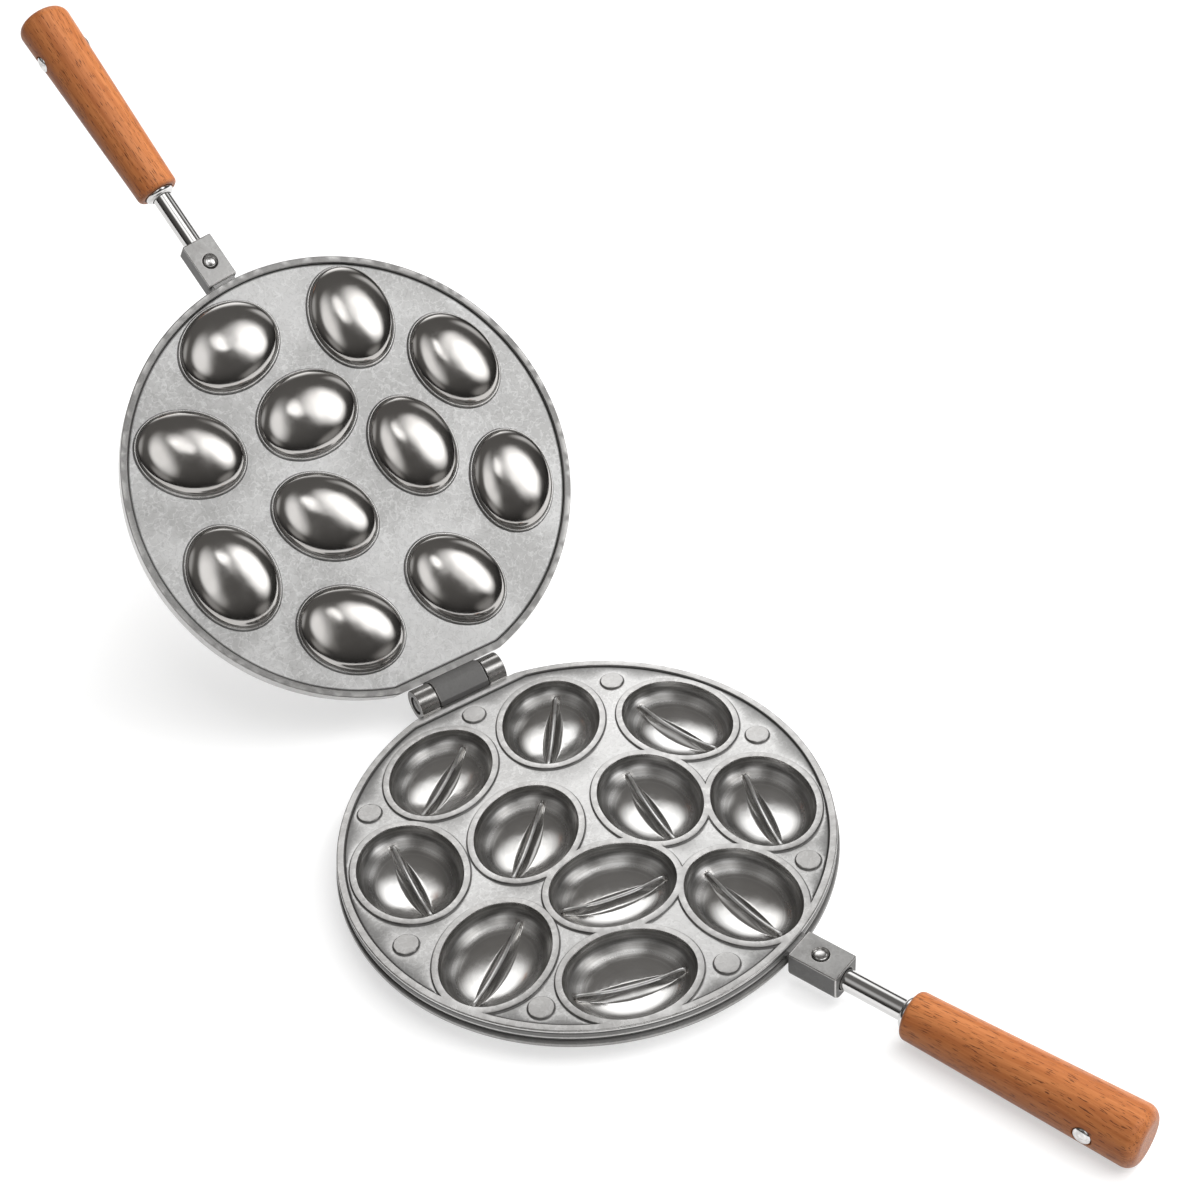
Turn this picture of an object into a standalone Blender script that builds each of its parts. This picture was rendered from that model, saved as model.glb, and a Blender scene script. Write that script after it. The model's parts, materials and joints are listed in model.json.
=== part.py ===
"""Hinged stovetop pastry mould for filled nut-shaped biscuits.

Two round cast aluminium halves turn on one hinge pin. The lower half has oval
bowls, each with the seam of a nut raised in its floor. The upper half has a
dome for every bowl. Each half has a cast socket with a riveted steel rod and
a turned wooden grip on it.

The model is built closed, with the parting plane at z = 0, the plates centred
on the origin, the hinge along X at +Y and the handles towards -Y. The upper
half then turns open on its hinge, and the whole is set down on its base.
All lengths are in metres and all angles in degrees.
"""

import math
from collections import namedtuple

import bmesh
import bpy
from mathutils import Matrix, Vector

# Plates
PLATE_RADIUS = 0.0946
PARTING_GAP = 0.0003
PARTING = PARTING_GAP / 2
LAND_WIDTH = 0.0028
EDGE_CHAMFER = 0.0006
LOWER_THICKNESS = 0.0096
LOWER_WALL = 0.0040
BEAD_RADIUS = 0.0016
GROOVE_DEPTH = 0.0006
UNDERSIDE_WIDTH = 0.0056
UNDERSIDE_SLOPE = 0.0028
BASE_DEPTH = 0.0185
BASE_GRIND = 0.0010
UPPER_FACE_RECESS = 0.0015
UPPER_FACE_THICKNESS = 0.0035
UPPER_RIM_HEIGHT = 0.0080
UPPER_RIM_WIDTH = 0.0040

# Bowls, domes and the pockets between them
BOWL_LENGTH = 0.0480
BOWL_WIDTH = 0.0390
BOWL_DEPTH = 0.0100
BOWL_FULLNESS = 2.3
BOWL_WALL = 0.0040
DOUGH_THICKNESS = 0.0021
DOME_HEIGHT = 0.0060
DOME_WALL = 0.0028
HOLLOW_DRAFT = 1.08
COLLAR_STEP = 0.0007
LIP_WIDTH = 0.0028
POCKET_DEPTH = 0.0008
PAD_RADIUS = 0.0046
SEAM_LENGTH = 0.0410
SEAM_WIDTH = 0.0084
SEAM_SINK = 0.0007
RIDGE_CREST = 0.0070
RIDGE_END = 0.0036
RIDGE_TOP_WIDTH = 0.0011
RIDGE_FOOT_WIDTH = 0.0030

# Bowls: compass bearing from the hinge, distance in plate radii, seam bearing
BOWLS = (
    (19.2, 0.644, 36.0),
    (65.1, 0.721, 165.0),
    (114.5, 0.723, 16.0),
    (155.1, 0.720, 174.0),
    (200.0, 0.763, 108.0),
    (241.1, 0.707, 55.0),
    (287.6, 0.718, 7.0),
    (333.2, 0.701, 53.0),
    (92.4, 0.303, 7.0),
    (302.5, 0.238, 47.0),
    (193.4, 0.325, 102.0),
)

# Round pads in the outer pockets: bearing and distance in plate radii
PADS = (
    (358.0, 0.848),
    (40.0, 0.872),
    (88.6, 0.866),
    (137.3, 0.899),
    (176.3, 0.890),
    (222.9, 0.896),
    (263.4, 0.878),
    (311.8, 0.895),
)

# Hinge
HINGE_SETBACK = 0.0040
OPEN_ANGLE = 136.0
SIDE_KNUCKLE_RADIUS = 0.0066
CENTRE_KNUCKLE_WIDTH = 0.0226
SIDE_KNUCKLE_WIDTH = 0.0084
KNUCKLE_GAP = 0.0003
KNUCKLE_FLAT = 0.0062
KNUCKLE_FLAT_TURN = 45.0
HEEL_DROP = 0.0050
ARM_STEP = 0.0002
LOWER_ARM_DEPTH = 0.0056
UPPER_ARM_HEIGHT = 0.0064
PIN_RADIUS = 0.0025
PIN_HEAD_RADIUS = 0.0036
PIN_HEAD_HEIGHT = 0.0009
PIN_END_RECESS = 0.0014

# Handles: each half's own bearing, from the front towards +X
LOWER_HANDLE_TURN = 19.0
UPPER_HANDLE_TURN = -8.8
SOCKET_LENGTH = 0.0200
SOCKET_WIDTH = 0.0135
SOCKET_HEIGHT = 0.0120
SOCKET_DROP = 0.0010
SOCKET_CORNER = 0.0036
SOCKET_TOP_CORNER = 0.0006
NECK_LENGTH = 0.0015
NECK_WIDTH = 0.0105
NECK_HEIGHT = 0.0060
NECK_DROP = 0.0016
ROD_RADIUS = 0.0040
ROD_SEAT = 0.0175
ROD_BARE_LENGTH = 0.0260
GRIP_LENGTH = 0.0875
GRIP_FRONT_RADIUS = 0.0090
GRIP_REAR_RADIUS = 0.0113
GRIP_FRONT_EDGE = 0.0022
GRIP_REAR_EDGE = 0.0045
GRIP_ROD_DEPTH = 0.0760
FERRULE_RADIUS = 0.00625
FERRULE_PROUD = 0.0022
FERRULE_SEAT = 0.0050
CROSS_PIN_SETBACK = 0.0180
CROSS_PIN_RADIUS = 0.0018
CROSS_PIN_HEAD_RADIUS = 0.0034
CROSS_PIN_DOME = 0.0014
CROSS_PIN_SINK = 0.0010
RIVET_SETBACK = 0.0105
RIVET_RADIUS = 0.0016
RIVET_HEAD_RADIUS = 0.0030
RIVET_DOME = 0.0009
RIVET_RECESS_RADIUS = 0.0038
RIVET_RECESS_DEPTH = 0.0006

# Clearance left between pieces that touch, and overshoot of a cutter
FIT = 0.0003
OVERSHOOT = 0.0030
MERGE = 0.00001

# Facets
RIM_STEPS = 60
BOWL_STEPS = 18
BOWL_RINGS = 3
BULGE_STEPS = 12
BULGE_RINGS = 3
DOME_RINGS = 3
ROUND_STEPS = 16
SMALL_STEPS = 10
SEAM_STEPS = 4
LIP_STEPS = 24
CORNER_STEPS = 4
FINE_CORNER_STEPS = 2
KNUCKLE_STEPS = 9
SMOOTH_ANGLE = 32.0

HINGE_Y = PLATE_RADIUS + HINGE_SETBACK
CHORD_Y = HINGE_Y - SIDE_KNUCKLE_RADIUS - 2 * FIT
CENTRE_KNUCKLE_RADIUS = SIDE_KNUCKLE_RADIUS + FIT
SOCKET_START = PLATE_RADIUS + NECK_LENGTH
SOCKET_END = SOCKET_START + SOCKET_LENGTH
ROD_START = SOCKET_END - ROD_SEAT
GRIP_START = SOCKET_END + ROD_BARE_LENGTH
ROD_END = GRIP_START + GRIP_ROD_DEPTH
ROD_DEPTH = SOCKET_DROP + SOCKET_HEIGHT / 2
RIVET_PLACE = SOCKET_END - RIVET_SETBACK
CROSS_PIN_PLACE = GRIP_START + GRIP_LENGTH - CROSS_PIN_SETBACK
BARREL_REACH = CENTRE_KNUCKLE_WIDTH / 2 + KNUCKLE_GAP + SIDE_KNUCKLE_WIDTH


def clear_scene():
    """Remove every object that the new scene starts with."""
    for obj in list(bpy.data.objects):
        bpy.data.objects.remove(obj)


def new_collection(name):
    """Make a collection in the scene."""
    made = bpy.data.collections.new(name)
    bpy.context.scene.collection.children.link(made)
    return made


def finish(name, colour, metallic, roughness):
    """Make a Principled material with a plain finish."""
    material = bpy.data.materials.new(name)
    material.use_nodes = True
    shader = material.node_tree.nodes["Principled BSDF"]
    shader.inputs["Base Color"].default_value = (*colour, 1.0)
    shader.inputs["Metallic"].default_value = metallic
    shader.inputs["Roughness"].default_value = roughness
    return material


# A half of the mould: the empty that carries it, where the plate centre lies
# from that empty, its collection, its handle's bearing and which way it faces
Half = namedtuple("Half", "parent home model turn side")

# Turn that stands a section drawn in Y and Z along X
STAND = Matrix(((0, 0, 1, 0), (1, 0, 0, 0), (0, 1, 0, 0), (0, 0, 0, 1)))


def compass(bearing, distance):
    """Point on the parting plane at a bearing from the hinge side, turning towards +X."""
    turn = math.radians(bearing)
    return Vector((distance * math.sin(turn), distance * math.cos(turn), 0.0))


def polar(centre, radius, turn):
    """Point at an angle and a distance from a centre."""
    angle = math.radians(turn)
    return (centre[0] + radius * math.cos(angle), centre[1] + radius * math.sin(angle))


def arc(centre, radius, start, end, steps):
    """Points along a circular arc, with both ends."""
    return [polar(centre, radius, start + (end - start) * k / steps) for k in range(steps + 1)]


def full_curve(steps, first=0.0, last=1.0):
    """Rounded section from one depth down to another, in units of its half axes."""
    power = 2.0 / BOWL_FULLNESS
    start = math.asin(first ** (1.0 / power))
    end = math.asin(last ** (1.0 / power))
    points = []
    for index in range(steps + 1):
        turn = start + (end - start) * index / steps
        points.append((max(math.cos(turn), 0.0) ** power, -(math.sin(turn) ** power)))
    return points


def place(obj, group, half, frame=None):
    """Link an object, hang it from its half's empty and set its place in the closed mould."""
    group.objects.link(obj)
    obj.parent = half.parent
    obj.matrix_local = half.home @ (frame if frame is not None else Matrix.Identity(4))
    return obj


def helper(obj, group, half, frame=None):
    """Place a cutter or a shape that is joined to a piece, drawn as wire only."""
    obj.hide_render = True
    obj.display_type = "WIRE"
    return place(obj, group, half, frame)


def piece(obj, half, material, frame=None):
    """Place one piece of the model in its material."""
    obj.data.materials.append(material)
    return place(obj, half.model, half, frame)


def turned(name, profile, steps, ring=False):
    """Turned shape: a profile of radius and height, outer side running down, spun about Z."""
    mesh = bpy.data.meshes.new(name)
    points = [(radius, 0.0, height) for radius, height in profile]
    edges = [(k, k + 1) for k in range(len(points) - 1)]
    if ring:
        edges.append((len(points) - 1, 0))
    mesh.from_pydata(points, edges, [])
    obj = bpy.data.objects.new(name, mesh)
    spin = obj.modifiers.new("Spin", "SCREW")
    spin.axis = "Z"
    spin.steps = steps
    spin.render_steps = steps
    spin.use_merge_vertices = True
    spin.merge_threshold = MERGE
    return obj


def box(name, low, high):
    """Box between two corners."""
    mesh = bpy.data.meshes.new(name)
    cube = bmesh.new()
    bmesh.ops.create_cube(cube, size=1.0)
    size = Vector(high) - Vector(low)
    centre = (Vector(high) + Vector(low)) / 2
    for vertex in cube.verts:
        vertex.co = Vector([vertex.co[k] * size[k] + centre[k] for k in range(3)])
    cube.to_mesh(mesh)
    cube.free()
    return bpy.data.objects.new(name, mesh)


def round_bar(name, radius, low, high, steps):
    """Cylinder along Z between two heights."""
    mesh = bpy.data.meshes.new(name)
    bar = bmesh.new()
    bmesh.ops.create_cone(
        bar, cap_ends=True, segments=steps, radius1=radius, radius2=radius, depth=high - low
    )
    bmesh.ops.translate(bar, vec=(0.0, 0.0, (high + low) / 2), verts=bar.verts)
    bar.to_mesh(mesh)
    bar.free()
    return bpy.data.objects.new(name, mesh)


def baked(obj, name):
    """Plain mesh of an object with its modifiers done."""
    graph = bpy.context.evaluated_depsgraph_get()
    mesh = bpy.data.meshes.new_from_object(obj.evaluated_get(graph))
    mesh.name = name
    return mesh


def extruded(name, outline, low, high):
    """Flat outline in X and Y, extruded along Z between two heights, as a mesh."""
    curve = bpy.data.curves.new(name, "CURVE")
    curve.dimensions = "2D"
    curve.fill_mode = "BOTH"
    curve.extrude = (high - low) / 2
    spline = curve.splines.new("POLY")
    spline.points.add(len(outline) - 1)
    for point, (x, y) in zip(spline.points, outline):
        point.co = (x, y, 0.0, 1.0)
    spline.use_cyclic_u = True
    flat = bpy.data.objects.new(name, curve)
    bpy.context.scene.collection.objects.link(flat)
    mesh = baked(flat, name)
    bpy.data.objects.remove(flat)
    solid = bmesh.new()
    solid.from_mesh(mesh)
    bmesh.ops.remove_doubles(solid, verts=solid.verts, dist=MERGE)
    bmesh.ops.translate(solid, vec=(0.0, 0.0, (high + low) / 2), verts=solid.verts)
    bmesh.ops.recalc_face_normals(solid, faces=solid.faces)
    solid.to_mesh(mesh)
    solid.free()
    return bpy.data.objects.new(name, mesh)


def boolean(obj, operation, other):
    """Add an exact Boolean with one object or with all of a collection."""
    step = obj.modifiers.new(operation.title(), "BOOLEAN")
    step.operation = operation
    step.solver = "EXACT"
    if isinstance(other, bpy.types.Collection):
        step.operand_type = "COLLECTION"
        step.collection = other
    else:
        step.object = other
    return step


def bowl_frame(row):
    """Place of one bowl: its centre on the parting plane, with local X along the seam."""
    bearing, distance, heading = row
    spot = compass(bearing, distance * PLATE_RADIUS)
    return Matrix.Translation(spot) @ Matrix.Rotation(math.radians(90.0 - heading), 4, "Z")


def oval(half_length, half_width, height=1.0):
    """Scale that makes a round shape of unit radius oval."""
    return Matrix.Diagonal((half_length, half_width, height, 1.0))


def rounded_section(half_width, top, bottom, top_corner, bottom_corner):
    """Outline of a bar's section with four rounded corners, in width and height."""
    side = half_width
    low = bottom + bottom_corner
    high = top - top_corner
    outline = arc((side - bottom_corner, low), bottom_corner, -90, 0, CORNER_STEPS)
    outline += arc((side - top_corner, high), top_corner, 0, 90, FINE_CORNER_STEPS)
    outline += arc((-side + top_corner, high), top_corner, 90, 180, FINE_CORNER_STEPS)
    outline += arc((-side + bottom_corner, low), bottom_corner, 180, 270, CORNER_STEPS)
    return outline


def handle_frame(half):
    """Frame of a handle: X outwards from the plate centre, Z towards the parting plane."""
    heading = Matrix.Rotation(math.radians(half.turn - 90.0), 4, "Z")
    return heading @ Matrix.Rotation(0.0 if half.side > 0 else math.pi, 4, "X")


def rod_frame(half):
    """Frame on a rod's axis, with Z outwards along it from the plate centre."""
    return handle_frame(half) @ Matrix.Translation((0.0, 0.0, -ROD_DEPTH)) @ lying()


def hinge_frame():
    """Frame on the hinge axis, with Z along it."""
    return Matrix.Translation((0.0, HINGE_Y, 0.0)) @ lying()


def lying():
    """Turn that lays a shape built along Z along X."""
    return Matrix.Rotation(math.radians(90.0), 4, "Y")


def across():
    """Turn that lays a shape built along Z along Y."""
    return Matrix.Rotation(math.radians(90.0), 4, "X")


def half_step():
    """Turn by half a rim facet, so that a round cut crosses the rim's facets cleanly."""
    return Matrix.Rotation(math.pi / RIM_STEPS, 4, "Z")


def seam_leaf(group, half):
    """Sunk leaf in a bowl's floor, pointed at both ends."""
    half_leaf = SEAM_LENGTH / 2
    half_wide = SEAM_WIDTH / 2
    radius = (half_leaf**2 + half_wide**2) / (2 * half_wide)
    drop = radius - half_wide
    reach = math.degrees(math.asin(half_leaf / radius))
    outline = arc((0.0, -drop), radius, 90 - reach, 90 + reach, SEAM_STEPS)[:-1]
    outline += arc((0.0, drop), radius, 270 - reach, 270 + reach, SEAM_STEPS)[:-1]
    leaf = extruded("leaf_shape", outline, -BOWL_DEPTH - OVERSHOOT, -RIDGE_END / 2)
    return helper(leaf, group, half)


def seam_ridge(group, half):
    """Ridge that stands in the leaf: a rising crest, with draft on both sides."""
    half_leaf = SEAM_LENGTH / 2
    foot = -BOWL_DEPTH - 2 * OVERSHOOT
    outline = [(-half_leaf, foot)]
    for index in range(SEAM_STEPS + 1):
        share = 2 * index / SEAM_STEPS - 1
        sag = (RIDGE_CREST - RIDGE_END) * (1 - share**2)
        outline.append((half_leaf * share, -RIDGE_END - sag))
    outline.append((half_leaf, foot))
    ridge = extruded("ridge_shape", outline, -RIDGE_TOP_WIDTH / 2, RIDGE_TOP_WIDTH / 2)
    draft = (RIDGE_FOOT_WIDTH - RIDGE_TOP_WIDTH) / 2 / (BOWL_DEPTH - RIDGE_CREST)
    foot_half_width = RIDGE_TOP_WIDTH / 2 + draft * (-foot - RIDGE_CREST)
    for vertex in ridge.data.vertices:
        if vertex.co.y < foot + MERGE:
            vertex.co.z = math.copysign(foot_half_width, vertex.co.z)
    return helper(ridge, group, half, across())


def nut_shape(group, half):
    """Shape that a bowl removes: a full oval with a sunk leaf, less the seam's ridge."""
    head = OVERSHOOT / BOWL_DEPTH
    section = [(0.0, head), (1.0, head)] + full_curve(BOWL_RINGS)
    size = oval(BOWL_LENGTH / 2, BOWL_WIDTH / 2, BOWL_DEPTH)
    sunk = oval(BOWL_LENGTH / 2 + SEAM_SINK, BOWL_WIDTH / 2 + SEAM_SINK, BOWL_DEPTH + SEAM_SINK)
    leaf = seam_leaf(group, half)
    ridge = seam_ridge(group, half)
    bowl = helper(turned("bowl_shape", section, BOWL_STEPS), group, half, size)
    deep = helper(turned("leaf_floor", section, BOWL_STEPS), group, half, sunk)
    boolean(leaf, "INTERSECT", deep)
    boolean(bowl, "UNION", leaf)
    boolean(bowl, "DIFFERENCE", ridge)
    mesh = baked(bowl, "nut_shape")
    mesh.transform(size)
    for used in (bowl, deep, leaf, ridge):
        bpy.data.objects.remove(used)
    return mesh


def pocket_shape(group, half):
    """Slab that sinks the ground between the bowls, leaving lips, pads and the rim land."""
    floor = -PARTING - POCKET_DEPTH
    under = floor - OVERSHOOT
    over = 2 * OVERSHOOT
    half_length = BOWL_LENGTH / 2 + LIP_WIDTH
    half_width = BOWL_WIDTH / 2 + LIP_WIDTH
    edge = CHORD_Y - LAND_WIDTH - EDGE_CHAMFER
    slab = round_bar("pocket_slab", PLATE_RADIUS - LAND_WIDTH, floor, OVERSHOOT, RIM_STEPS)
    helper(slab, group, half, half_step())
    kept = [box("pocket_edge", (-PLATE_RADIUS, edge, under), (PLATE_RADIUS, HINGE_Y, over))]
    helper(kept[0], group, half)
    for number, row in enumerate(BOWLS):
        lip = round_bar(f"lip_{number}", 1.0, under, over, LIP_STEPS)
        kept.append(helper(lip, group, half, bowl_frame(row) @ oval(half_length, half_width)))
    for number, (bearing, distance) in enumerate(PADS):
        pad = round_bar(f"pad_{number}", PAD_RADIUS, under, over, SMALL_STEPS)
        spot = Matrix.Translation(compass(bearing, distance * PLATE_RADIUS))
        kept.append(helper(pad, group, half, spot))
    for island in kept:
        boolean(slab, "DIFFERENCE", island)
    mesh = baked(slab, "pockets")
    for used in [slab] + kept:
        bpy.data.objects.remove(used)
    return mesh


def add_socket(group, half):
    """Cast socket block and its neck, which join a plate to its handle rod."""
    frame = handle_frame(half) @ STAND
    top = -SOCKET_DROP
    section = rounded_section(
        SOCKET_WIDTH / 2, top, top - SOCKET_HEIGHT, SOCKET_TOP_CORNER, SOCKET_CORNER
    )
    helper(extruded("socket_block", section, SOCKET_START, SOCKET_END), group, half, frame)
    top = -NECK_DROP
    section = rounded_section(
        NECK_WIDTH / 2, top, top - NECK_HEIGHT, SOCKET_TOP_CORNER, SOCKET_TOP_CORNER
    )
    start = PLATE_RADIUS - LAND_WIDTH
    end = SOCKET_START + NECK_LENGTH
    helper(extruded("socket_neck", section, start, end), group, half, frame)


def cut_socket(group, half):
    """Rod bore, rivet hole and the two rivet recesses of a socket."""
    start = ROD_START - FIT
    bore = round_bar("rod_bore", ROD_RADIUS + FIT, start, SOCKET_END + OVERSHOOT, ROUND_STEPS)
    helper(bore, group, half, rod_frame(half))
    spot = handle_frame(half) @ Matrix.Translation((RIVET_PLACE, 0.0, 0.0))
    top = -SOCKET_DROP
    bottom = top - SOCKET_HEIGHT
    hole = round_bar("rivet_hole", RIVET_RADIUS + FIT, bottom - OVERSHOOT, OVERSHOOT, SMALL_STEPS)
    helper(hole, group, half, spot)
    for name, low, high in (
        ("top_recess", top - RIVET_RECESS_DEPTH, OVERSHOOT),
        ("bottom_recess", bottom - OVERSHOOT, bottom + RIVET_RECESS_DEPTH),
    ):
        helper(round_bar(name, RIVET_RECESS_RADIUS, low, high, SMALL_STEPS), group, half, spot)


def lower_rim_profile():
    """Section of the lower plate: land, wall, groove, rounded bead and flat underside."""
    top = -PARTING
    wall = -LOWER_WALL
    neck = PLATE_RADIUS - GROOVE_DEPTH
    bead_middle = wall - 2 * GROOVE_DEPTH - BEAD_RADIUS
    profile = [(0.0, top), (PLATE_RADIUS - EDGE_CHAMFER, top), (PLATE_RADIUS, top - EDGE_CHAMFER)]
    profile += [(PLATE_RADIUS, wall), (neck, wall - GROOVE_DEPTH)]
    profile += arc((neck, bead_middle), BEAD_RADIUS, 90, -90, CORNER_STEPS)
    ledge = neck - UNDERSIDE_WIDTH
    profile += [(ledge, bead_middle - BEAD_RADIUS)]
    profile += [(ledge - UNDERSIDE_SLOPE, -LOWER_THICKNESS), (0.0, -LOWER_THICKNESS)]
    return profile


def upper_rim_profile():
    """Section of the upper plate before its two recesses are cut."""
    inner = PLATE_RADIUS - EDGE_CHAMFER
    top = UPPER_RIM_HEIGHT
    profile = [(0.0, top), (inner, top), (PLATE_RADIUS, top - EDGE_CHAMFER)]
    profile += [(PLATE_RADIUS, PARTING + EDGE_CHAMFER), (inner, PARTING), (0.0, PARTING)]
    return profile


def add_bulges(group, half):
    """Thick underside of each bowl, ground flat where the mould stands."""
    full_depth = BASE_DEPTH + BASE_GRIND
    curve = full_curve(BULGE_RINGS, LOWER_THICKNESS / 2 / full_depth, BASE_DEPTH / full_depth)
    section = [(radius, height * full_depth) for radius, height in curve]
    section = [(0.0, section[0][1])] + section + [(0.0, section[-1][1])]
    size = oval(BOWL_LENGTH / 2 + BOWL_WALL, BOWL_WIDTH / 2 + BOWL_WALL)
    for number, row in enumerate(BOWLS):
        bulge = turned(f"bulge_{number}", section, BULGE_STEPS)
        helper(bulge, group, half, bowl_frame(row) @ size)


def add_side_knuckle(name, group, half, start):
    """Round side knuckle on its arm, part of the lower plate."""
    radius = SIDE_KNUCKLE_RADIUS
    top = -PARTING - ARM_STEP
    first = 180.0 - math.degrees(math.asin(top / radius))
    last = math.degrees(math.asin(LOWER_ARM_DEPTH / radius)) - 180.0
    root = CHORD_Y - LAND_WIDTH
    outline = arc((HINGE_Y, 0.0), radius, first, last, ROUND_STEPS)
    outline += [(root, -LOWER_ARM_DEPTH), (root, top)]
    helper(extruded(name, outline, start, start + SIDE_KNUCKLE_WIDTH), group, half, STAND)


def add_centre_knuckle(group, half):
    """Centre knuckle of the upper plate: its arm, a flat, and the heel that stops it open."""
    centre = (HINGE_Y, 0.0)
    radius = CENTRE_KNUCKLE_RADIUS
    arm_low = PARTING + ARM_STEP
    low_turn = 180.0 - math.degrees(math.asin(arm_low / radius))
    high_turn = 540.0 - math.degrees(math.asin(UPPER_ARM_HEIGHT / radius))
    flat_turn = 180.0 - KNUCKLE_FLAT_TURN + OPEN_ANGLE
    flat_half = math.degrees(math.acos(KNUCKLE_FLAT / radius))
    heel_face = 180.0 + OPEN_ANGLE
    heel_corner = heel_face + math.degrees(math.atan2(HEEL_DROP, radius))
    heel_end = heel_face + math.degrees(math.asin(HEEL_DROP / radius))
    root = CHORD_Y - LAND_WIDTH
    outline = [(root, arm_low)]
    outline += arc(centre, radius, low_turn, flat_turn - flat_half, CORNER_STEPS)
    outline += arc(centre, radius, flat_turn + flat_half, heel_face, FINE_CORNER_STEPS)
    outline.append(polar(centre, math.hypot(radius, HEEL_DROP), heel_corner))
    outline += arc(centre, radius, heel_end, high_turn, KNUCKLE_STEPS)
    outline.append((root, UPPER_ARM_HEIGHT))
    reach = CENTRE_KNUCKLE_WIDTH / 2
    helper(extruded("centre_knuckle", outline, -reach, reach), group, half, STAND)


def cut_pin_bore(group, half, name, reach):
    """Bore for the hinge pin, to the same distance on both sides of the middle."""
    bore = round_bar(name, PIN_RADIUS + FIT, -reach, reach, ROUND_STEPS)
    helper(bore, group, half, hinge_frame())


def make_lower_plate(cutters, half, metal):
    """Lower half: rim, bowls, pockets, thick underside, side knuckles and socket."""
    added = new_collection("Lower plate joined shapes")
    add_bulges(added, half)
    inner_end = CENTRE_KNUCKLE_WIDTH / 2 + KNUCKLE_GAP
    add_side_knuckle("knuckle_right", added, half, inner_end)
    add_side_knuckle("knuckle_left", added, half, -inner_end - SIDE_KNUCKLE_WIDTH)
    add_socket(added, half)

    removed = new_collection("Lower plate cutters")
    shape = nut_shape(cutters, half)
    sunk = Matrix.Translation((0.0, 0.0, -PARTING))
    for number, row in enumerate(BOWLS):
        helper(bpy.data.objects.new(f"bowl_{number}", shape), removed, half, sunk @ bowl_frame(row))
    pockets = bpy.data.objects.new("pockets", pocket_shape(cutters, half))
    helper(pockets, removed, half, half_step())
    cut_socket(removed, half)
    cut_pin_bore(removed, half, "side_bore", BARREL_REACH + OVERSHOOT)
    for name, middle in (("left_end", -BARREL_REACH), ("right_end", BARREL_REACH)):
        start = middle - PIN_END_RECESS
        end = middle + PIN_END_RECESS
        recess = round_bar(name, PIN_HEAD_RADIUS + FIT, start, end, ROUND_STEPS)
        helper(recess, removed, half, hinge_frame())

    low = (-PLATE_RADIUS, CHORD_Y, -BASE_DEPTH)
    chord = helper(box("lower_chord", low, (PLATE_RADIUS, HINGE_Y, OVERSHOOT)), cutters, half)
    plate = piece(turned("lower_plate", lower_rim_profile(), RIM_STEPS), half, metal)
    boolean(plate, "DIFFERENCE", chord)
    boolean(plate, "UNION", added)
    boolean(plate, "DIFFERENCE", removed)


def cut_face(group, cutters, half, name, width, low, high):
    """Round recess of the upper plate that leaves a rim of one width, also along the hinge."""
    slab = round_bar(name, PLATE_RADIUS - width, low, high, RIM_STEPS)
    helper(slab, cutters, half, half_step())
    near = (-PLATE_RADIUS, CHORD_Y - width, low - OVERSHOOT)
    edge = box(f"{name}_edge", near, (PLATE_RADIUS, HINGE_Y, high + OVERSHOOT))
    helper(edge, cutters, half)
    boolean(slab, "DIFFERENCE", edge)
    mesh = baked(slab, name)
    bpy.data.objects.remove(slab)
    bpy.data.objects.remove(edge)
    helper(bpy.data.objects.new(name, mesh), group, half, half_step())


def add_domes(group, half, inside):
    """Collars and domes that press the dough into the bowls."""
    length = BOWL_LENGTH / 2 - DOUGH_THICKNESS
    width = BOWL_WIDTH / 2 - DOUGH_THICKNESS
    section = [(0.0, inside), (1.0, inside)]
    section += [(radius, PARTING + height * DOME_HEIGHT) for radius, height in full_curve(BOWL_RINGS)]
    for number, row in enumerate(BOWLS):
        collar = round_bar(f"collar_{number}", 1.0, PARTING, inside + FIT, LIP_STEPS)
        size = oval(length + COLLAR_STEP, width + COLLAR_STEP)
        helper(collar, group, half, bowl_frame(row) @ size)
        dome = turned(f"dome_{number}", section, BOWL_STEPS)
        helper(dome, group, half, bowl_frame(row) @ oval(length, width))


def cut_hollows(group, half, back):
    """Hollow backs of the domes, open on the outside of the plate."""
    length = BOWL_LENGTH / 2 - DOUGH_THICKNESS - DOME_WALL
    width = BOWL_WIDTH / 2 - DOUGH_THICKNESS - DOME_WALL
    depth = DOME_HEIGHT - DOME_WALL
    top = back + OVERSHOOT
    section = [(0.0, top), (HOLLOW_DRAFT, top)]
    section += [(radius, height * depth) for radius, height in full_curve(BULGE_RINGS)]
    for number, row in enumerate(BOWLS):
        hollow = turned(f"hollow_{number}", section, BULGE_STEPS)
        helper(hollow, group, half, bowl_frame(row) @ oval(length, width))


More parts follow.
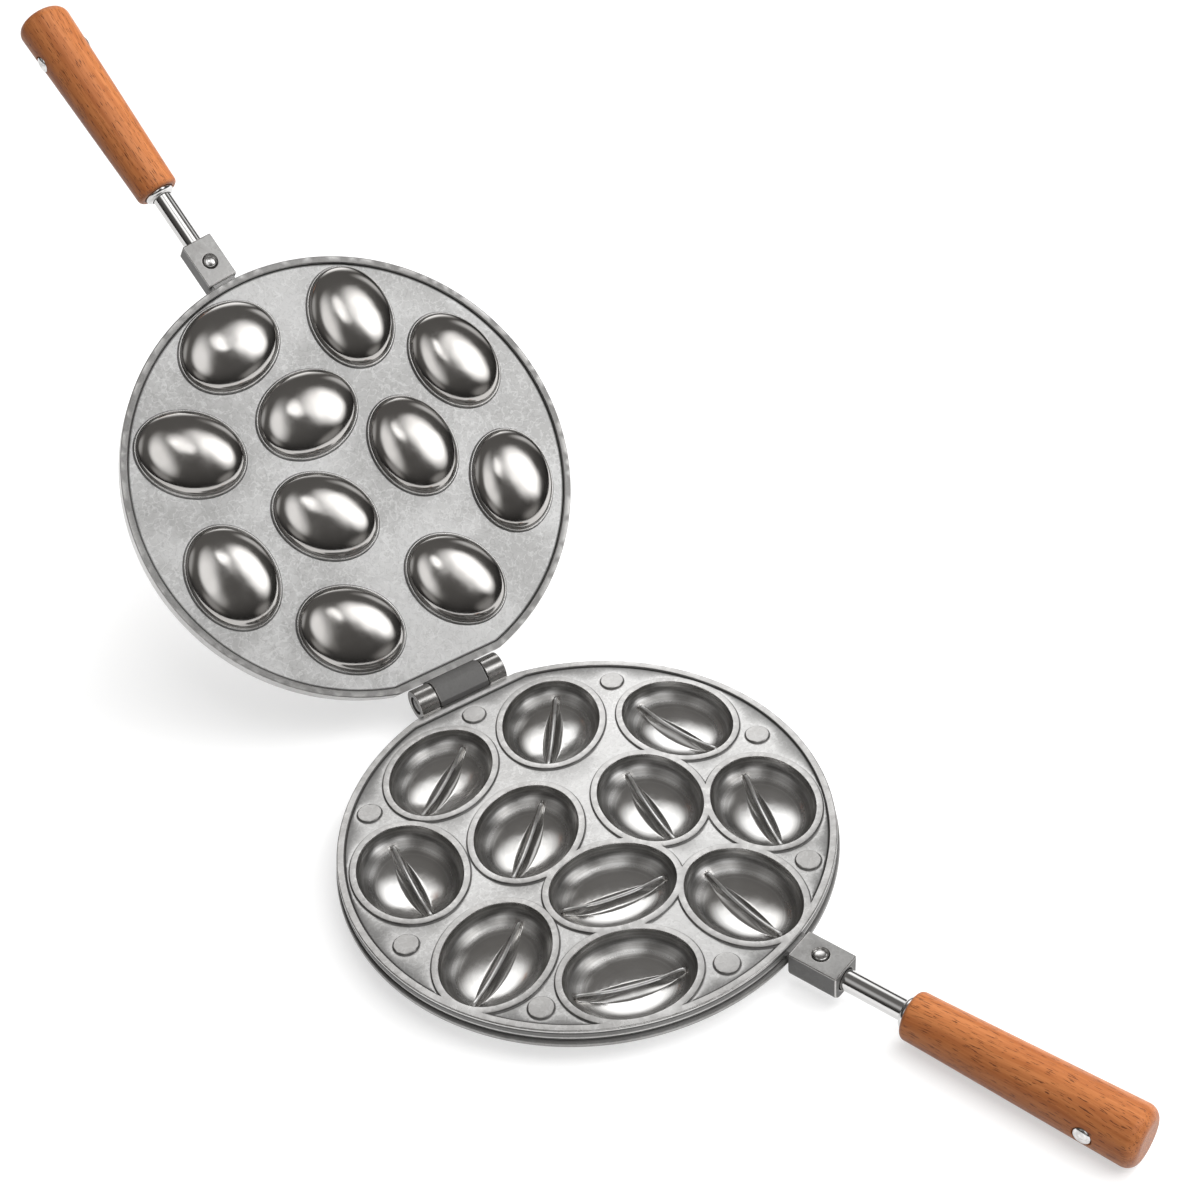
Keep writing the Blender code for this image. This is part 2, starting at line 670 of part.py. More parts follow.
def make_upper_plate(cutters, half, metal):
    """Upper half: rim, sunk face, collars and domes, hollow back, knuckle and socket."""
    face = UPPER_FACE_RECESS
    back = face + UPPER_FACE_THICKNESS
    trims = new_collection("Upper plate recesses")
    above = UPPER_RIM_HEIGHT + OVERSHOOT
    low = (-PLATE_RADIUS, CHORD_Y, -OVERSHOOT)
    helper(box("upper_chord", low, (PLATE_RADIUS, HINGE_Y, above)), trims, half)
    cut_face(trims, cutters, half, "face_recess", LAND_WIDTH, -OVERSHOOT, face)
    cut_face(trims, cutters, half, "back_recess", UPPER_RIM_WIDTH, back, above)

    added = new_collection("Upper plate joined shapes")
    add_domes(added, half, face + UPPER_FACE_THICKNESS / 2)
    add_centre_knuckle(added, half)
    add_socket(added, half)

    removed = new_collection("Upper plate cutters")
    cut_hollows(removed, half, back)
    cut_socket(removed, half)
    cut_pin_bore(removed, half, "centre_bore", CENTRE_KNUCKLE_WIDTH / 2 + OVERSHOOT)

    plate = piece(turned("upper_plate", upper_rim_profile(), RIM_STEPS), half, metal)
    boolean(plate, "DIFFERENCE", trims)
    boolean(plate, "UNION", added)
    boolean(plate, "DIFFERENCE", removed)


def dome_profile(radius, height, top):
    """Points of a low dome, from its crown on the axis out to its edge."""
    points = []
    for index in range(DOME_RINGS + 1):
        turn = math.radians(90.0 * index / DOME_RINGS)
        points.append((radius * math.sin(turn), top - height * (1 - math.cos(turn))))
    return points


def headed_pin(name, shank, head, dome, seat, steps):
    """Turned pin with a domed head at each end; the heads' flat sides lie a seat from its middle."""
    crown = dome_profile(head, dome, seat + dome)
    profile = crown + [(shank, seat), (shank, -seat)]
    profile += [(radius, -height) for radius, height in reversed(crown)]
    return turned(name, profile, steps)


def make_hinge_pin(half, steel):
    """Pin through all three knuckles, with its ends riveted over in their recesses."""
    seat = BARREL_REACH - PIN_END_RECESS + FIT
    pin = headed_pin(
        "hinge_pin", PIN_RADIUS, PIN_HEAD_RADIUS, PIN_HEAD_HEIGHT, seat, ROUND_STEPS
    )
    piece(pin, half, steel, hinge_frame())


def make_rod(name, half, steel):
    """Handle rod from the socket into the grip, cross-drilled for its rivet and its pin."""
    rod = round_bar(name, ROD_RADIUS, ROD_START, ROD_END, ROUND_STEPS)
    holes = new_collection(f"{name} holes")
    reach = ROD_RADIUS + OVERSHOOT
    rivet_hole = round_bar(f"{name}_rivet_hole", RIVET_RADIUS + FIT, -reach, reach, SMALL_STEPS)
    helper(rivet_hole, holes, half, rivet_frame(half))
    pin_hole = round_bar(f"{name}_pin_hole", CROSS_PIN_RADIUS + FIT, -reach, reach, SMALL_STEPS)
    helper(pin_hole, holes, half, cross_pin_frame(half))
    piece(rod, half, steel, rod_frame(half))
    boolean(rod, "DIFFERENCE", holes)


def rivet_frame(half):
    """Frame at the middle of a socket's rivet, with Z along it."""
    return handle_frame(half) @ Matrix.Translation((RIVET_PLACE, 0.0, -ROD_DEPTH))


def cross_pin_frame(half):
    """Frame at the middle of a grip's cross-pin, with Z along it."""
    return handle_frame(half) @ Matrix.Translation((CROSS_PIN_PLACE, 0.0, -ROD_DEPTH)) @ across()


def make_socket_rivet(name, half, steel):
    """Rivet down through a socket block and its rod."""
    seat = SOCKET_HEIGHT / 2 - RIVET_RECESS_DEPTH + FIT
    rivet = headed_pin(name, RIVET_RADIUS, RIVET_HEAD_RADIUS, RIVET_DOME, seat, SMALL_STEPS)
    piece(rivet, half, steel, rivet_frame(half))


def grip_radius(place):
    """Radius of the grip's plain taper at a distance from its front end."""
    return GRIP_FRONT_RADIUS + (GRIP_REAR_RADIUS - GRIP_FRONT_RADIUS) * place / GRIP_LENGTH


def cross_pin_seat():
    """Distance of the cross-pin's sinks from the grip's axis."""
    return grip_radius(GRIP_LENGTH - CROSS_PIN_SETBACK) - CROSS_PIN_SINK


def make_grip(name, half, wood):
    """Turned wooden grip, bored for the rod and the ferrule and drilled for the cross-pin."""
    rear = GRIP_LENGTH
    shoulder = grip_radius(rear - GRIP_REAR_EDGE)
    profile = [(0.0, rear)]
    end = (shoulder - GRIP_REAR_EDGE, rear - GRIP_REAR_EDGE)
    profile += arc(end, GRIP_REAR_EDGE, 90, 0, CORNER_STEPS)
    nose = (grip_radius(GRIP_FRONT_EDGE) - GRIP_FRONT_EDGE, GRIP_FRONT_EDGE)
    profile += arc(nose, GRIP_FRONT_EDGE, 0, -90, FINE_CORNER_STEPS)
    seat = FERRULE_RADIUS + FIT
    bore = ROD_RADIUS + FIT
    profile += [(seat, 0.0), (seat, FERRULE_SEAT + FIT), (bore, FERRULE_SEAT + FIT)]
    profile += [(bore, GRIP_ROD_DEPTH + FIT), (0.0, GRIP_ROD_DEPTH + FIT)]
    grip = turned(name, profile, ROUND_STEPS)
    holes = new_collection(f"{name} holes")
    reach = GRIP_REAR_RADIUS + OVERSHOOT
    hole = round_bar(f"{name}_pin_hole", CROSS_PIN_RADIUS + FIT, -reach, reach, SMALL_STEPS)
    helper(hole, holes, half, cross_pin_frame(half))
    for side in (-1, 1):
        ends = sorted((side * cross_pin_seat(), side * reach))
        sink = round_bar(f"{name}_sink_{side}", CROSS_PIN_HEAD_RADIUS + FIT, *ends, SMALL_STEPS)
        helper(sink, holes, half, cross_pin_frame(half))
    piece(grip, half, wood, rod_frame(half) @ Matrix.Translation((0.0, 0.0, GRIP_START)))
    boolean(grip, "DIFFERENCE", holes)


def make_cross_pin(name, half, steel):
    """Pin across a grip and its rod, with a domed head in a sink on each side."""
    seat = cross_pin_seat() + FIT
    pin = headed_pin(
        name, CROSS_PIN_RADIUS, CROSS_PIN_HEAD_RADIUS, CROSS_PIN_DOME, seat, SMALL_STEPS
    )
    piece(pin, half, steel, cross_pin_frame(half))


def make_ferrule(name, half, steel):
    """Polished ring let into the front of a grip, with a rounded nose."""
    inner = ROD_RADIUS + FIT
    wall = FERRULE_RADIUS - inner
    nose = -FERRULE_PROUD
    profile = [(inner, FERRULE_SEAT), (FERRULE_RADIUS, FERRULE_SEAT)]
    profile += arc((inner, nose + wall), wall, 0, -90, CORNER_STEPS)
    ring = turned(name, profile, ROUND_STEPS, ring=True)
    piece(ring, half, steel, rod_frame(half) @ Matrix.Translation((0.0, 0.0, GRIP_START)))


def new_empty(name, group, parent, location):
    """Empty that carries other objects."""
    empty = bpy.data.objects.new(name, None)
    group.objects.link(empty)
    empty.parent = parent
    empty.location = location
    return empty


def settle(model):
    """Apply the modifiers of every piece, and shade its round sides smooth."""
    for obj in model.objects:
        if obj.type == "MESH":
            mesh = baked(obj, obj.name)
            mesh.shade_smooth()
            mesh.set_sharp_from_angle(angle=math.radians(SMOOTH_ANGLE))
            obj.modifiers.clear()
            obj.data = mesh


def set_down(base, model):
    """Move the whole model so that its origin is the bottom centre of its box."""
    bpy.context.view_layer.update()
    corners = []
    for obj in model.objects:
        if obj.type == "MESH":
            corners += [obj.matrix_world @ vertex.co for vertex in obj.data.vertices]
    middle = [(min(c[k] for c in corners) + max(c[k] for c in corners)) / 2 for k in range(2)]
    base.location = (-middle[0], -middle[1], BASE_DEPTH)


def build():
    """Make both halves, their handles and the hinge, then open the mould and set it down."""
    clear_scene()
    model = new_collection("Pastry mould")
    cutters = new_collection("Shared cutters")
    base = new_empty("mould_base", model, None, (0.0, 0.0, 0.0))
    hinge = new_empty("hinge_axis", model, base, (0.0, HINGE_Y, 0.0))
    lower = Half(base, Matrix.Identity(4), model, LOWER_HANDLE_TURN, 1)
    home = Matrix.Translation((0.0, -HINGE_Y, 0.0))
    upper = Half(hinge, home, model, UPPER_HANDLE_TURN, -1)

    cast = finish("cast_aluminium", (0.62, 0.62, 0.61), 1.0, 0.35)
    pressed = finish("polished_aluminium", (0.70, 0.70, 0.69), 1.0, 0.22)
    steel = finish("bright_steel", (0.66, 0.66, 0.66), 1.0, 0.15)
    wood = finish("oiled_beech", (0.48, 0.14, 0.05), 0.0, 0.45)

    make_lower_plate(cutters, lower, cast)
    make_upper_plate(cutters, upper, pressed)
    make_hinge_pin(lower, steel)
    for name, half in (("lower", lower), ("upper", upper)):
        make_rod(f"{name}_rod", half, steel)
        make_socket_rivet(f"{name}_socket_rivet", half, steel)
        make_ferrule(f"{name}_ferrule", half, steel)
        make_grip(f"{name}_grip", half, wood)
        make_cross_pin(f"{name}_grip_pin", half, steel)

    settle(model)
    hinge.rotation_euler = (math.radians(-OPEN_ANGLE), 0.0, 0.0)
    set_down(base, model)


build()
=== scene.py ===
"""Hinged pastry mould for nut-shaped biscuits, lying open on a pale floor."""

import json
import math

import bmesh
import bpy
import numpy as np
from mathutils import Matrix, Vector
from mathutils.geometry import delaunay_2d_cdt


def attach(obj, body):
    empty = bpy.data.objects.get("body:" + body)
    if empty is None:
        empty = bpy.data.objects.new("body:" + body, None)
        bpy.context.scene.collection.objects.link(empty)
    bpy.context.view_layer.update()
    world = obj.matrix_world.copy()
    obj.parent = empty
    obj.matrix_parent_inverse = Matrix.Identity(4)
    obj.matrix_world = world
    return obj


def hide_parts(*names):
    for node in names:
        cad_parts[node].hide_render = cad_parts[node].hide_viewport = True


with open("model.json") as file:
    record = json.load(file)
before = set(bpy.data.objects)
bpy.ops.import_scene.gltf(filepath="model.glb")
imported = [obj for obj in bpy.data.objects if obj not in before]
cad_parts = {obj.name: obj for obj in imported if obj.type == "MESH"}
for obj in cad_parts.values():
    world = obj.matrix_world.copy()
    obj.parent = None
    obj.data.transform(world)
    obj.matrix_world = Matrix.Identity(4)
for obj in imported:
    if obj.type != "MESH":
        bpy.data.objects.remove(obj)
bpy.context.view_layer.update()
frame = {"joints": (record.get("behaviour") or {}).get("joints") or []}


# The lower plate is one aluminium casting. Its land and lips are machined flat, the
# nut-shaped bowls are polished inside, and the ground between them is left as cast,
# a little lower, with a round pad in each outer gap.
PLATE_RADIUS = 94.6
# bearing of each bowl, its distance in plate radii, and the bearing of its seam
BOWLS = (
    (19.2, 0.644, 36.0), (65.1, 0.721, 165.0), (114.5, 0.723, 16.0), (155.1, 0.720, 174.0),
    (200.0, 0.763, 108.0), (241.1, 0.707, 55.0), (287.6, 0.718, 7.0), (333.2, 0.701, 53.0),
    (92.4, 0.303, 7.0), (302.5, 0.238, 47.0), (193.4, 0.325, 102.0),
)
# bearing of each pad and its distance in plate radii
PADS = (
    (358.0, 0.848), (40.0, 0.872), (88.6, 0.866), (137.3, 0.899),
    (176.3, 0.890), (222.9, 0.896), (263.4, 0.878), (311.8, 0.895),
)
MOUTH = np.array([24.0, 19.5])
BOWL_DEPTH = 10.0
FULLNESS = 2.3
ROUND_POWER = 2.0 / FULLNESS
PARTING = 0.15
LIP = 2.5
LAND = 2.8
POCKET = 0.8
PAD_RADIUS = 4.6
MOUTH_ROUND = 0.3
LIP_ROUND = 0.25
LIP_POLISH = 0.55
POCKET_POLISH = 0.30
AROUND = 96
RIM_STEPS = 240
WELD = 0.0005
# The second mark darkens the metal: mostly painted shade at the feet of walls, in recesses and on
# sides away from the light, with a faint even darkening on some flats.
MARKS = ("polish", "grime", "level")

# The halves turn on one pin. Every piece is drawn in millimetres on its half as the
# closed mould has it, with the plate centred and its parting face at height 0, and is
# then put where that half lies in the open mould.
HINGE_AXIS = 98.6
CHORD = 91.4
OPEN_ANGLE = 136.0
hinge = frame["joints"][0]
pivot = Matrix.Translation(Vector(hinge["pos_m"]))
metres = Matrix.Scale(0.001, 4)
from_hinge = Matrix.Translation((0.0, -HINGE_AXIS, 0.0))
lower_place = pivot @ metres @ from_hinge
opening = Matrix.Rotation(math.radians(-OPEN_ANGLE), 4, "X")
upper_place = pivot @ opening @ metres @ from_hinge


def middle_of(row):
    """Middle of a bowl or pad: its bearing runs from the hinge side towards +X."""
    turn = math.radians(row[0])
    distance = row[1] * PLATE_RADIUS
    return np.array([distance * math.sin(turn), distance * math.cos(turn)])


def seam_turn(row):
    """Turn from a plate's X axis to a bowl's seam."""
    return math.radians(90.0 - row[2])


def around(half_axes, steps=AROUND, centre=(0.0, 0.0), turn=0.0):
    """Points round an oval."""
    angle = np.arange(steps) * math.tau / steps
    flat = np.stack([half_axes[0] * np.cos(angle), half_axes[1] * np.sin(angle)], 1)
    c, s = math.cos(turn), math.sin(turn)
    return flat @ np.array([[c, s], [-s, c]]) + np.asarray(centre)


def circle(radius, steps=RIM_STEPS, centre=(0.0, 0.0)):
    """Points round a circle."""
    return around((radius, radius), steps, centre)


def oval_at(row, half_axes, steps=AROUND):
    """Points round an oval at a bowl's place, turned to its seam."""
    return around(half_axes, steps, middle_of(row), seam_turn(row))


def own_frame(row, points):
    """Points as seen from a bowl's middle, with X along its seam."""
    c, s = math.cos(seam_turn(row)), math.sin(seam_turn(row))
    return (points - middle_of(row)) @ np.array([[c, -s], [s, c]])


def outside(row, points):
    """How far each point lies outside a bowl's mouth."""
    x, y = np.abs(own_frame(row, points)).T
    grow = np.maximum(np.maximum(x - MOUTH[0], y - MOUTH[1]), 1.0 - MOUTH[1])
    for _ in range(12):
        p, q = x / (MOUTH[0] + grow), y / (MOUTH[1] + grow)
        slope = 2.0 * (p * p / (MOUTH[0] + grow) + q * q / (MOUTH[1] + grow))
        grow = np.maximum(grow + (p * p + q * q - 1.0) / np.maximum(slope, 1e-6), 1.0 - MOUTH[1])
    return grow


def off_mouths(points):
    """How far each point lies outside each of the bowls' mouths."""
    return np.array([outside(row, points) for row in BOWLS])


def step(value, low, high):
    """Smooth step from 0 to 1."""
    share = np.clip((value - low) / (high - low), 0.0, 1.0)
    return share * share * (3.0 - 2.0 * share)


def peak(value, middle, width):
    """Share that is 1 where a value is at its middle, and fades over a width."""
    return np.exp(-(((value - middle) / width) ** 2))


def at_height(flat, height):
    """Flat points lifted to one height, or each to its own."""
    return np.column_stack([flat, np.ones(len(flat)) * height])


def surface(lines, wanted=None):
    """Flat triangles through open or closed lines, where they are wanted."""
    points, edges = [], []
    for line, closed in lines:
        first = len(points)
        points += [Vector(p) for p in line]
        count = len(line)
        edges += [(first + k, first + (k + 1) % count) for k in range(count - (not closed))]
    flat, _, faces, *_ = delaunay_2d_cdt(points, edges, [], 0, 1e-6)
    spots = np.array([(p.x, p.y) for p in flat])
    faces = np.array([f for f in faces if len(f) == 3])
    return spots, (faces[wanted(spots[faces].mean(1))] if wanted else faces)


def pieces_of(line, kept):
    """Runs of neighbouring kept points on a closed line."""
    if kept.all():
        return [(line, True)]
    count = len(line)
    start = int(np.argmin(kept))
    order = [(start + k) % count for k in range(count + 1)]
    runs, run = [], []
    for k in order:
        if kept[k]:
            run.append(line[k])
        else:
            if len(run) > 1:
                runs.append((np.array(run), False))
            run = []
    return runs


def marked_mesh(name, points, faces, marks):
    """Mesh whose points carry the marks that the cast finish reads."""
    mesh = bpy.data.meshes.new(name)
    mesh.from_pydata(points.tolist(), [], faces)
    for mark, values in zip(MARKS, marks):
        layer = mesh.attributes.new(mark, "FLOAT", "POINT")
        layer.data.foreach_set("value", (np.ones(len(points)) * values).astype(np.float32))
    return mesh


def points_of(mesh, place=Matrix.Identity(4)):
    """Points and faces of a mesh, put in a place."""
    points = np.array([place @ v.co for v in mesh.vertices])
    return points, [tuple(p.vertices) for p in mesh.polygons]


def marks_of(mesh):
    """Marks that the points of a mesh carry."""
    marks = np.zeros((len(MARKS), len(mesh.vertices)), np.float32)
    for mark, values in zip(MARKS, marks):
        mesh.attributes[mark].data.foreach_get("value", values)
    return marks


def welded(mesh):
    """Editable copy of a mesh, with its doubled points made one."""
    solid = bmesh.new()
    solid.from_mesh(mesh)
    bmesh.ops.remove_doubles(solid, verts=solid.verts, dist=WELD)
    return solid


def put_back(solid, mesh):
    """Write an editable copy back to its mesh."""
    solid.to_mesh(mesh)
    solid.free()
    return mesh


def upright(points, faces):
    """Whether a patch's faces look up."""
    a, b, c = (points[[f[k] for f in faces]] for k in range(3))
    return np.cross(b - a, c - a)[:, 2].sum() > 0


class Casting:
    """Patches of one casting, in its half's own millimetres, that become one mesh."""

    def __init__(self):
        self.points, self.faces, self.marks, self.count = [], [], [], 0

    def add(self, points, faces, polish, grime=0.0, level=0.0, flip=False):
        """Add a patch; polish, the darkening that paints shade, and level are numbers or one for
        each point.
        """
        ones = np.ones(len(points))
        self.points.append(np.asarray(points, float))
        self.marks.append(np.stack([ones * polish, ones * grime, ones * level], 1))
        for face in faces:
            turned = [int(k) + self.count for k in face]
            self.faces.append(turned[::-1] if flip else turned)
        self.count += len(points)

    def add_ground(self, up, spots, faces, height, polish, grime):
        """Add flat triangles at their heights, looking up or down."""
        points = at_height(spots, height)
        self.add(points, faces, polish, grime, flip=upright(points, faces) != up)

    def opened(self, name):
        """One solid from the patches, as a mesh and its editable copy."""
        marks = np.concatenate(self.marks).T
        mesh = marked_mesh(name, np.concatenate(self.points), self.faces, marks)
        return mesh, welded(mesh)

    def closed(self, mesh, solid):
        """The mesh again, with its large faces in triangles."""
        bmesh.ops.triangulate(solid, faces=[f for f in solid.faces if len(f.verts) > 4])
        return put_back(solid, mesh)

    def cut_flat(self):
        """Cut the hinge side flat, and close the cut."""
        mesh, solid = self.opened("cut flat")
        everything = solid.verts[:] + solid.edges[:] + solid.faces[:]
        bmesh.ops.bisect_plane(
            solid, geom=everything, dist=1e-5, plane_co=(0.0, CHORD, 0.0),
            plane_no=(0.0, 1.0, 0.0), clear_outer=True,
        )
        rim = [edge for edge in solid.edges if edge.is_boundary]
        bmesh.ops.holes_fill(solid, edges=rim, sides=0)
        self.closed(mesh, solid)
        self.__init__()
        self.add(*points_of(mesh), *marks_of(mesh))

    def mesh(self, name, place):
        """Weld the patches and move the mesh to its place."""
        mesh = self.closed(*self.opened(name))
        mesh.transform(place)
        return mesh


def rings(stack):
    """Points and faces of a stack of rings of one count, one inside the next."""
    count = len(stack[0])
    faces = []
    for first in range(0, count * (len(stack) - 1), count):
        for j in range(count):
            a, b = first + j, first + (j + 1) % count
            faces.append((a, b, b + count, a + count))
    return np.concatenate(stack), faces


def round_wall(profile):
    """Turned patch from a profile of radius and height that runs down its outside."""
    return rings([at_height(circle(radius), height) for radius, height in profile])


def hump(share):
    """Height of a bowl's shape as a share of its full height, from its middle to its mouth."""
    return (1.0 - share**FULLNESS) ** (1.0 / FULLNESS)


def up_side(angle):
    """Shares of a bowl's half axes and of its height, at an angle from its mouth."""
    turn = math.radians(angle)
    return max(math.cos(turn), 0.0) ** ROUND_POWER, math.sin(turn) ** ROUND_POWER


def bowl_height(x, y):
    """Height of a plain bowl's floor below its mouth."""
    return -BOWL_DEPTH * hump(np.minimum(np.hypot(x / MOUTH[0], y / MOUTH[1]), 1.0))


# The seam of the nut runs along each bowl: a ridge with rounded ends, and a flute
# on each side of it whose outer edges make a leaf.
LEAF = (20.5, 4.2)
RIDGE_TIP = 1.6
LEAF_RADIUS = (LEAF[0] ** 2 + LEAF[1] ** 2) / (2 * LEAF[1])
RIDGE_HALF = 0.65
RIDGE_RISE = 2.9
CREST_SHARE = 0.45
CREST_CROWN = 0.18
CREST_POLISH = 0.45
FLUTE_SINK = 0.35
FLUTE_CURVE = 1.2
# Place, width and fading of the dark line painted as shade along each foot of the ridge.
FOOT_LINE, FOOT_WIDTH = 0.3, 0.16
FOOT_FADE = (15.0, 18.5)


def leaf_half(x):
    """Half width of the leaf along the seam."""
    inside = np.clip(np.abs(x), 0.0, LEAF[0])
    arc = np.sqrt(LEAF_RADIUS**2 - inside**2) - (LEAF_RADIUS - LEAF[1])
    past = np.clip((inside - LEAF[0]) / RIDGE_TIP + 1.0, 0.0, 1.0)
    return np.maximum(arc, RIDGE_TIP * np.sqrt(1.0 - past * past))


def crest_half(x):
    """Half width of the ridge's crest along the seam."""
    return np.minimum(RIDGE_HALF, CREST_SHARE * leaf_half(x))


def seam_height(x, y):
    """Height of a bowl's floor with its seam, and the shade painted along the feet of its ridge.
    """
    half, top, side = leaf_half(x), crest_half(x), np.abs(y)
    reach = np.clip((side - top) / np.maximum(half - top, 1e-3), 0.0, 1.0)
    rise = RIDGE_RISE * np.sqrt(np.clip(1.0 - np.abs(x / LEAF[0]) ** 8, 0.0, 1.0))
    crown = CREST_CROWN * np.clip(side / np.maximum(top, 1e-3), 0.0, 1.0) ** 2
    flute = (rise - crown) * (1.0 - reach) ** FLUTE_CURVE - FLUTE_SINK * np.sin(np.pi * reach)
    foot = peak(side - top, FOOT_LINE, FOOT_WIDTH) * (1.0 - step(np.abs(x), *FOOT_FADE))
    leaf = side < half
    return bowl_height(x, y) + np.where(leaf, flute, 0.0), np.where(leaf, 0.6 * foot, 0.0)


def bowl_patch():
    """Points, faces and marks of one bowl, with its seam along X."""
    stack = []
    for grow, drop in ((LIP_ROUND, 0.0), (0.13, 0.035), (0.04, 0.13), (0.0, MOUTH_ROUND)):
        stack.append(at_height(around(MOUTH + grow), -drop))
    for angle in range(4, 31, 3):
        flat = around(MOUTH * up_side(angle)[0])
        stack.append(at_height(flat, bowl_height(*flat.T)))
    wall, wall_faces = rings(stack)

    lines = [(stack[-1][:, :2], True)]
    for angle in range(36, 90, 6):
        loop = around(MOUTH * up_side(angle)[0], AROUND - 4 * (angle // 12))
        lines += pieces_of(loop, np.abs(loop[:, 1]) > leaf_half(loop[:, 0]) + 0.25)
    x = LEAF[0] * np.sin(np.linspace(-0.5, 0.5, 49) * math.pi)
    half, top = leaf_half(x), crest_half(x)
    lines.append((np.column_stack([x, 0.0 * x]), False))
    rows = [top * share for share in (0.5, 1.0)]
    for reach in (0.07, 0.15, 0.25, 0.37, 0.5, 0.65, 0.8, 0.92, 1.0):
        rows.append(top + (half - top) * reach)
    for side in (-1, 1):
        lines += [(np.column_stack([x, side * y])[1:-1], False) for y in rows]
    spots, faces = surface(lines)
    height, shade_marks = seam_height(*spots.T)

    points = np.concatenate([wall, at_height(spots, height)])
    faces = wall_faces + (faces + len(wall)).tolist()
    along, side = np.abs(points[:, 0]), np.abs(points[:, 1])
    reach = np.hypot(along / MOUTH[0], side / MOUTH[1])
    plain = (side > leaf_half(along) + 0.05) | (along > LEAF[0])
    below = points[:, 2] < -MOUTH_ROUND - 0.2
    # Painted shade: the dark line at the ridge's feet, and a darkening of the bowl's walls towards
    # the mouth.
    shade_marks = np.concatenate([np.zeros(len(wall)), shade_marks])
    shade_marks = np.maximum(shade_marks, 0.34 * step(reach, 0.55, 0.92) * (plain & below))
    polish = 1.0 - 0.34 * step(reach, 0.60, 0.90) * plain
    polish[~plain & (side < crest_half(along) + 1e-6)] = CREST_POLISH
    polish[:AROUND] = LIP_POLISH
    return points, faces, (polish, shade_marks, -points[:, 2])


class Wire:
    """A socket of a node tree that Python's operators work on."""

    def __init__(self, tree, socket):
        self.tree = tree
        self.socket = socket

    def math(self, operation, *values):
        return self.tree.node("ShaderNodeMath", {"operation": operation}, dict(enumerate(values)))

    def __add__(self, other):
        return self.math("ADD", self, other)

    def __sub__(self, other):
        return self.math("SUBTRACT", self, other)

    def __rsub__(self, other):
        return self.math("SUBTRACT", other, self)

    def __mul__(self, other):
        return self.math("MULTIPLY", self, other)

    def __pow__(self, other):
        return self.math("POWER", self, other)

    __radd__ = __add__
    __rmul__ = __mul__

    def between(self, low, high, start=0.0, end=1.0):
        """Smooth step from start to end while this value goes from low to high."""
        settings = {"interpolation_type": "SMOOTHSTEP"}
        sockets = {"Value": self, 1: low, 2: high, 3: start, 4: end}
        return self.tree.node("ShaderNodeMapRange", settings, sockets)


class Tree:
    """A node tree that makes and links its own nodes."""

    def __init__(self, tree):
        self.tree = tree

    def node(self, kind, settings, sockets, out=0):
        """Make a node, set it up, fill its sockets, and return one of its outputs."""
        made = self.tree.nodes.new(kind)
        for name, value in settings.items():
            setattr(made, name, value)
        self.fill(made, sockets)
        return Wire(self, made.outputs[out]) if len(made.outputs) else made

    def fill(self, node, sockets):
        """Link a node's sockets to wires, or set them to values."""
        for key, value in sockets.items():
            for wire in value if isinstance(value, list) else [value]:
                if isinstance(wire, Wire):
                    self.tree.links.new(wire.socket, node.inputs[key])
                else:
                    node.inputs[key].default_value = wire

    def mix(self, share, first, second):
        """Colour between two colours."""
        settings = {"data_type": "RGBA"}
        return self.node("ShaderNodeMix", settings, {0: share, 6: first, 7: second}, 2)

    def noise(self, place, scale, detail=2.0, roughness=0.5):
        """Noise between 0 and 1 at a place."""
        sockets = {"Vector": place, "Scale": scale, "Detail": detail, "Roughness": roughness}
        return self.node("ShaderNodeTexNoise", {}, sockets)

    def stretched(self, place, scale):
        """Place scaled by its own amount along each axis."""
        return self.node("ShaderNodeVectorMath", {"operation": "MULTIPLY"}, {0: place, 1: scale})

    def attribute(self, name, out=2):
        """Value that the mesh carries under a name."""
        return self.node("ShaderNodeAttribute", {"attribute_name": name}, {}, out)

    def bump(self, height, strength, distance):
        """Normal roughened by a height."""
        return self.node(
            "ShaderNodeBump", {}, {"Height": height, "Strength": strength, "Distance": distance}
        )


def finish(name, paint):
    """Material whose Principled shader gets the sockets that paint works out."""
    material = bpy.data.materials.new(name)
    material.use_nodes = True
    tree = Tree(material.node_tree)
    tree.fill(material.node_tree.nodes["Principled BSDF"], paint(tree))
    return material


POLISHED = ((0.62, 0.61, 0.595, 1.0), (0.72, 0.715, 0.705, 1.0))
TURNED_MARK = (0.34, 0.325, 0.31, 1.0)
SANDED = ((0.50, 0.498, 0.492, 1.0), (0.79, 0.79, 0.785, 1.0))
# Dark colour of the second mark, mostly painted shade.
DARK_SHADE_AND_DIRT = (0.018, 0.017, 0.016, 1.0)


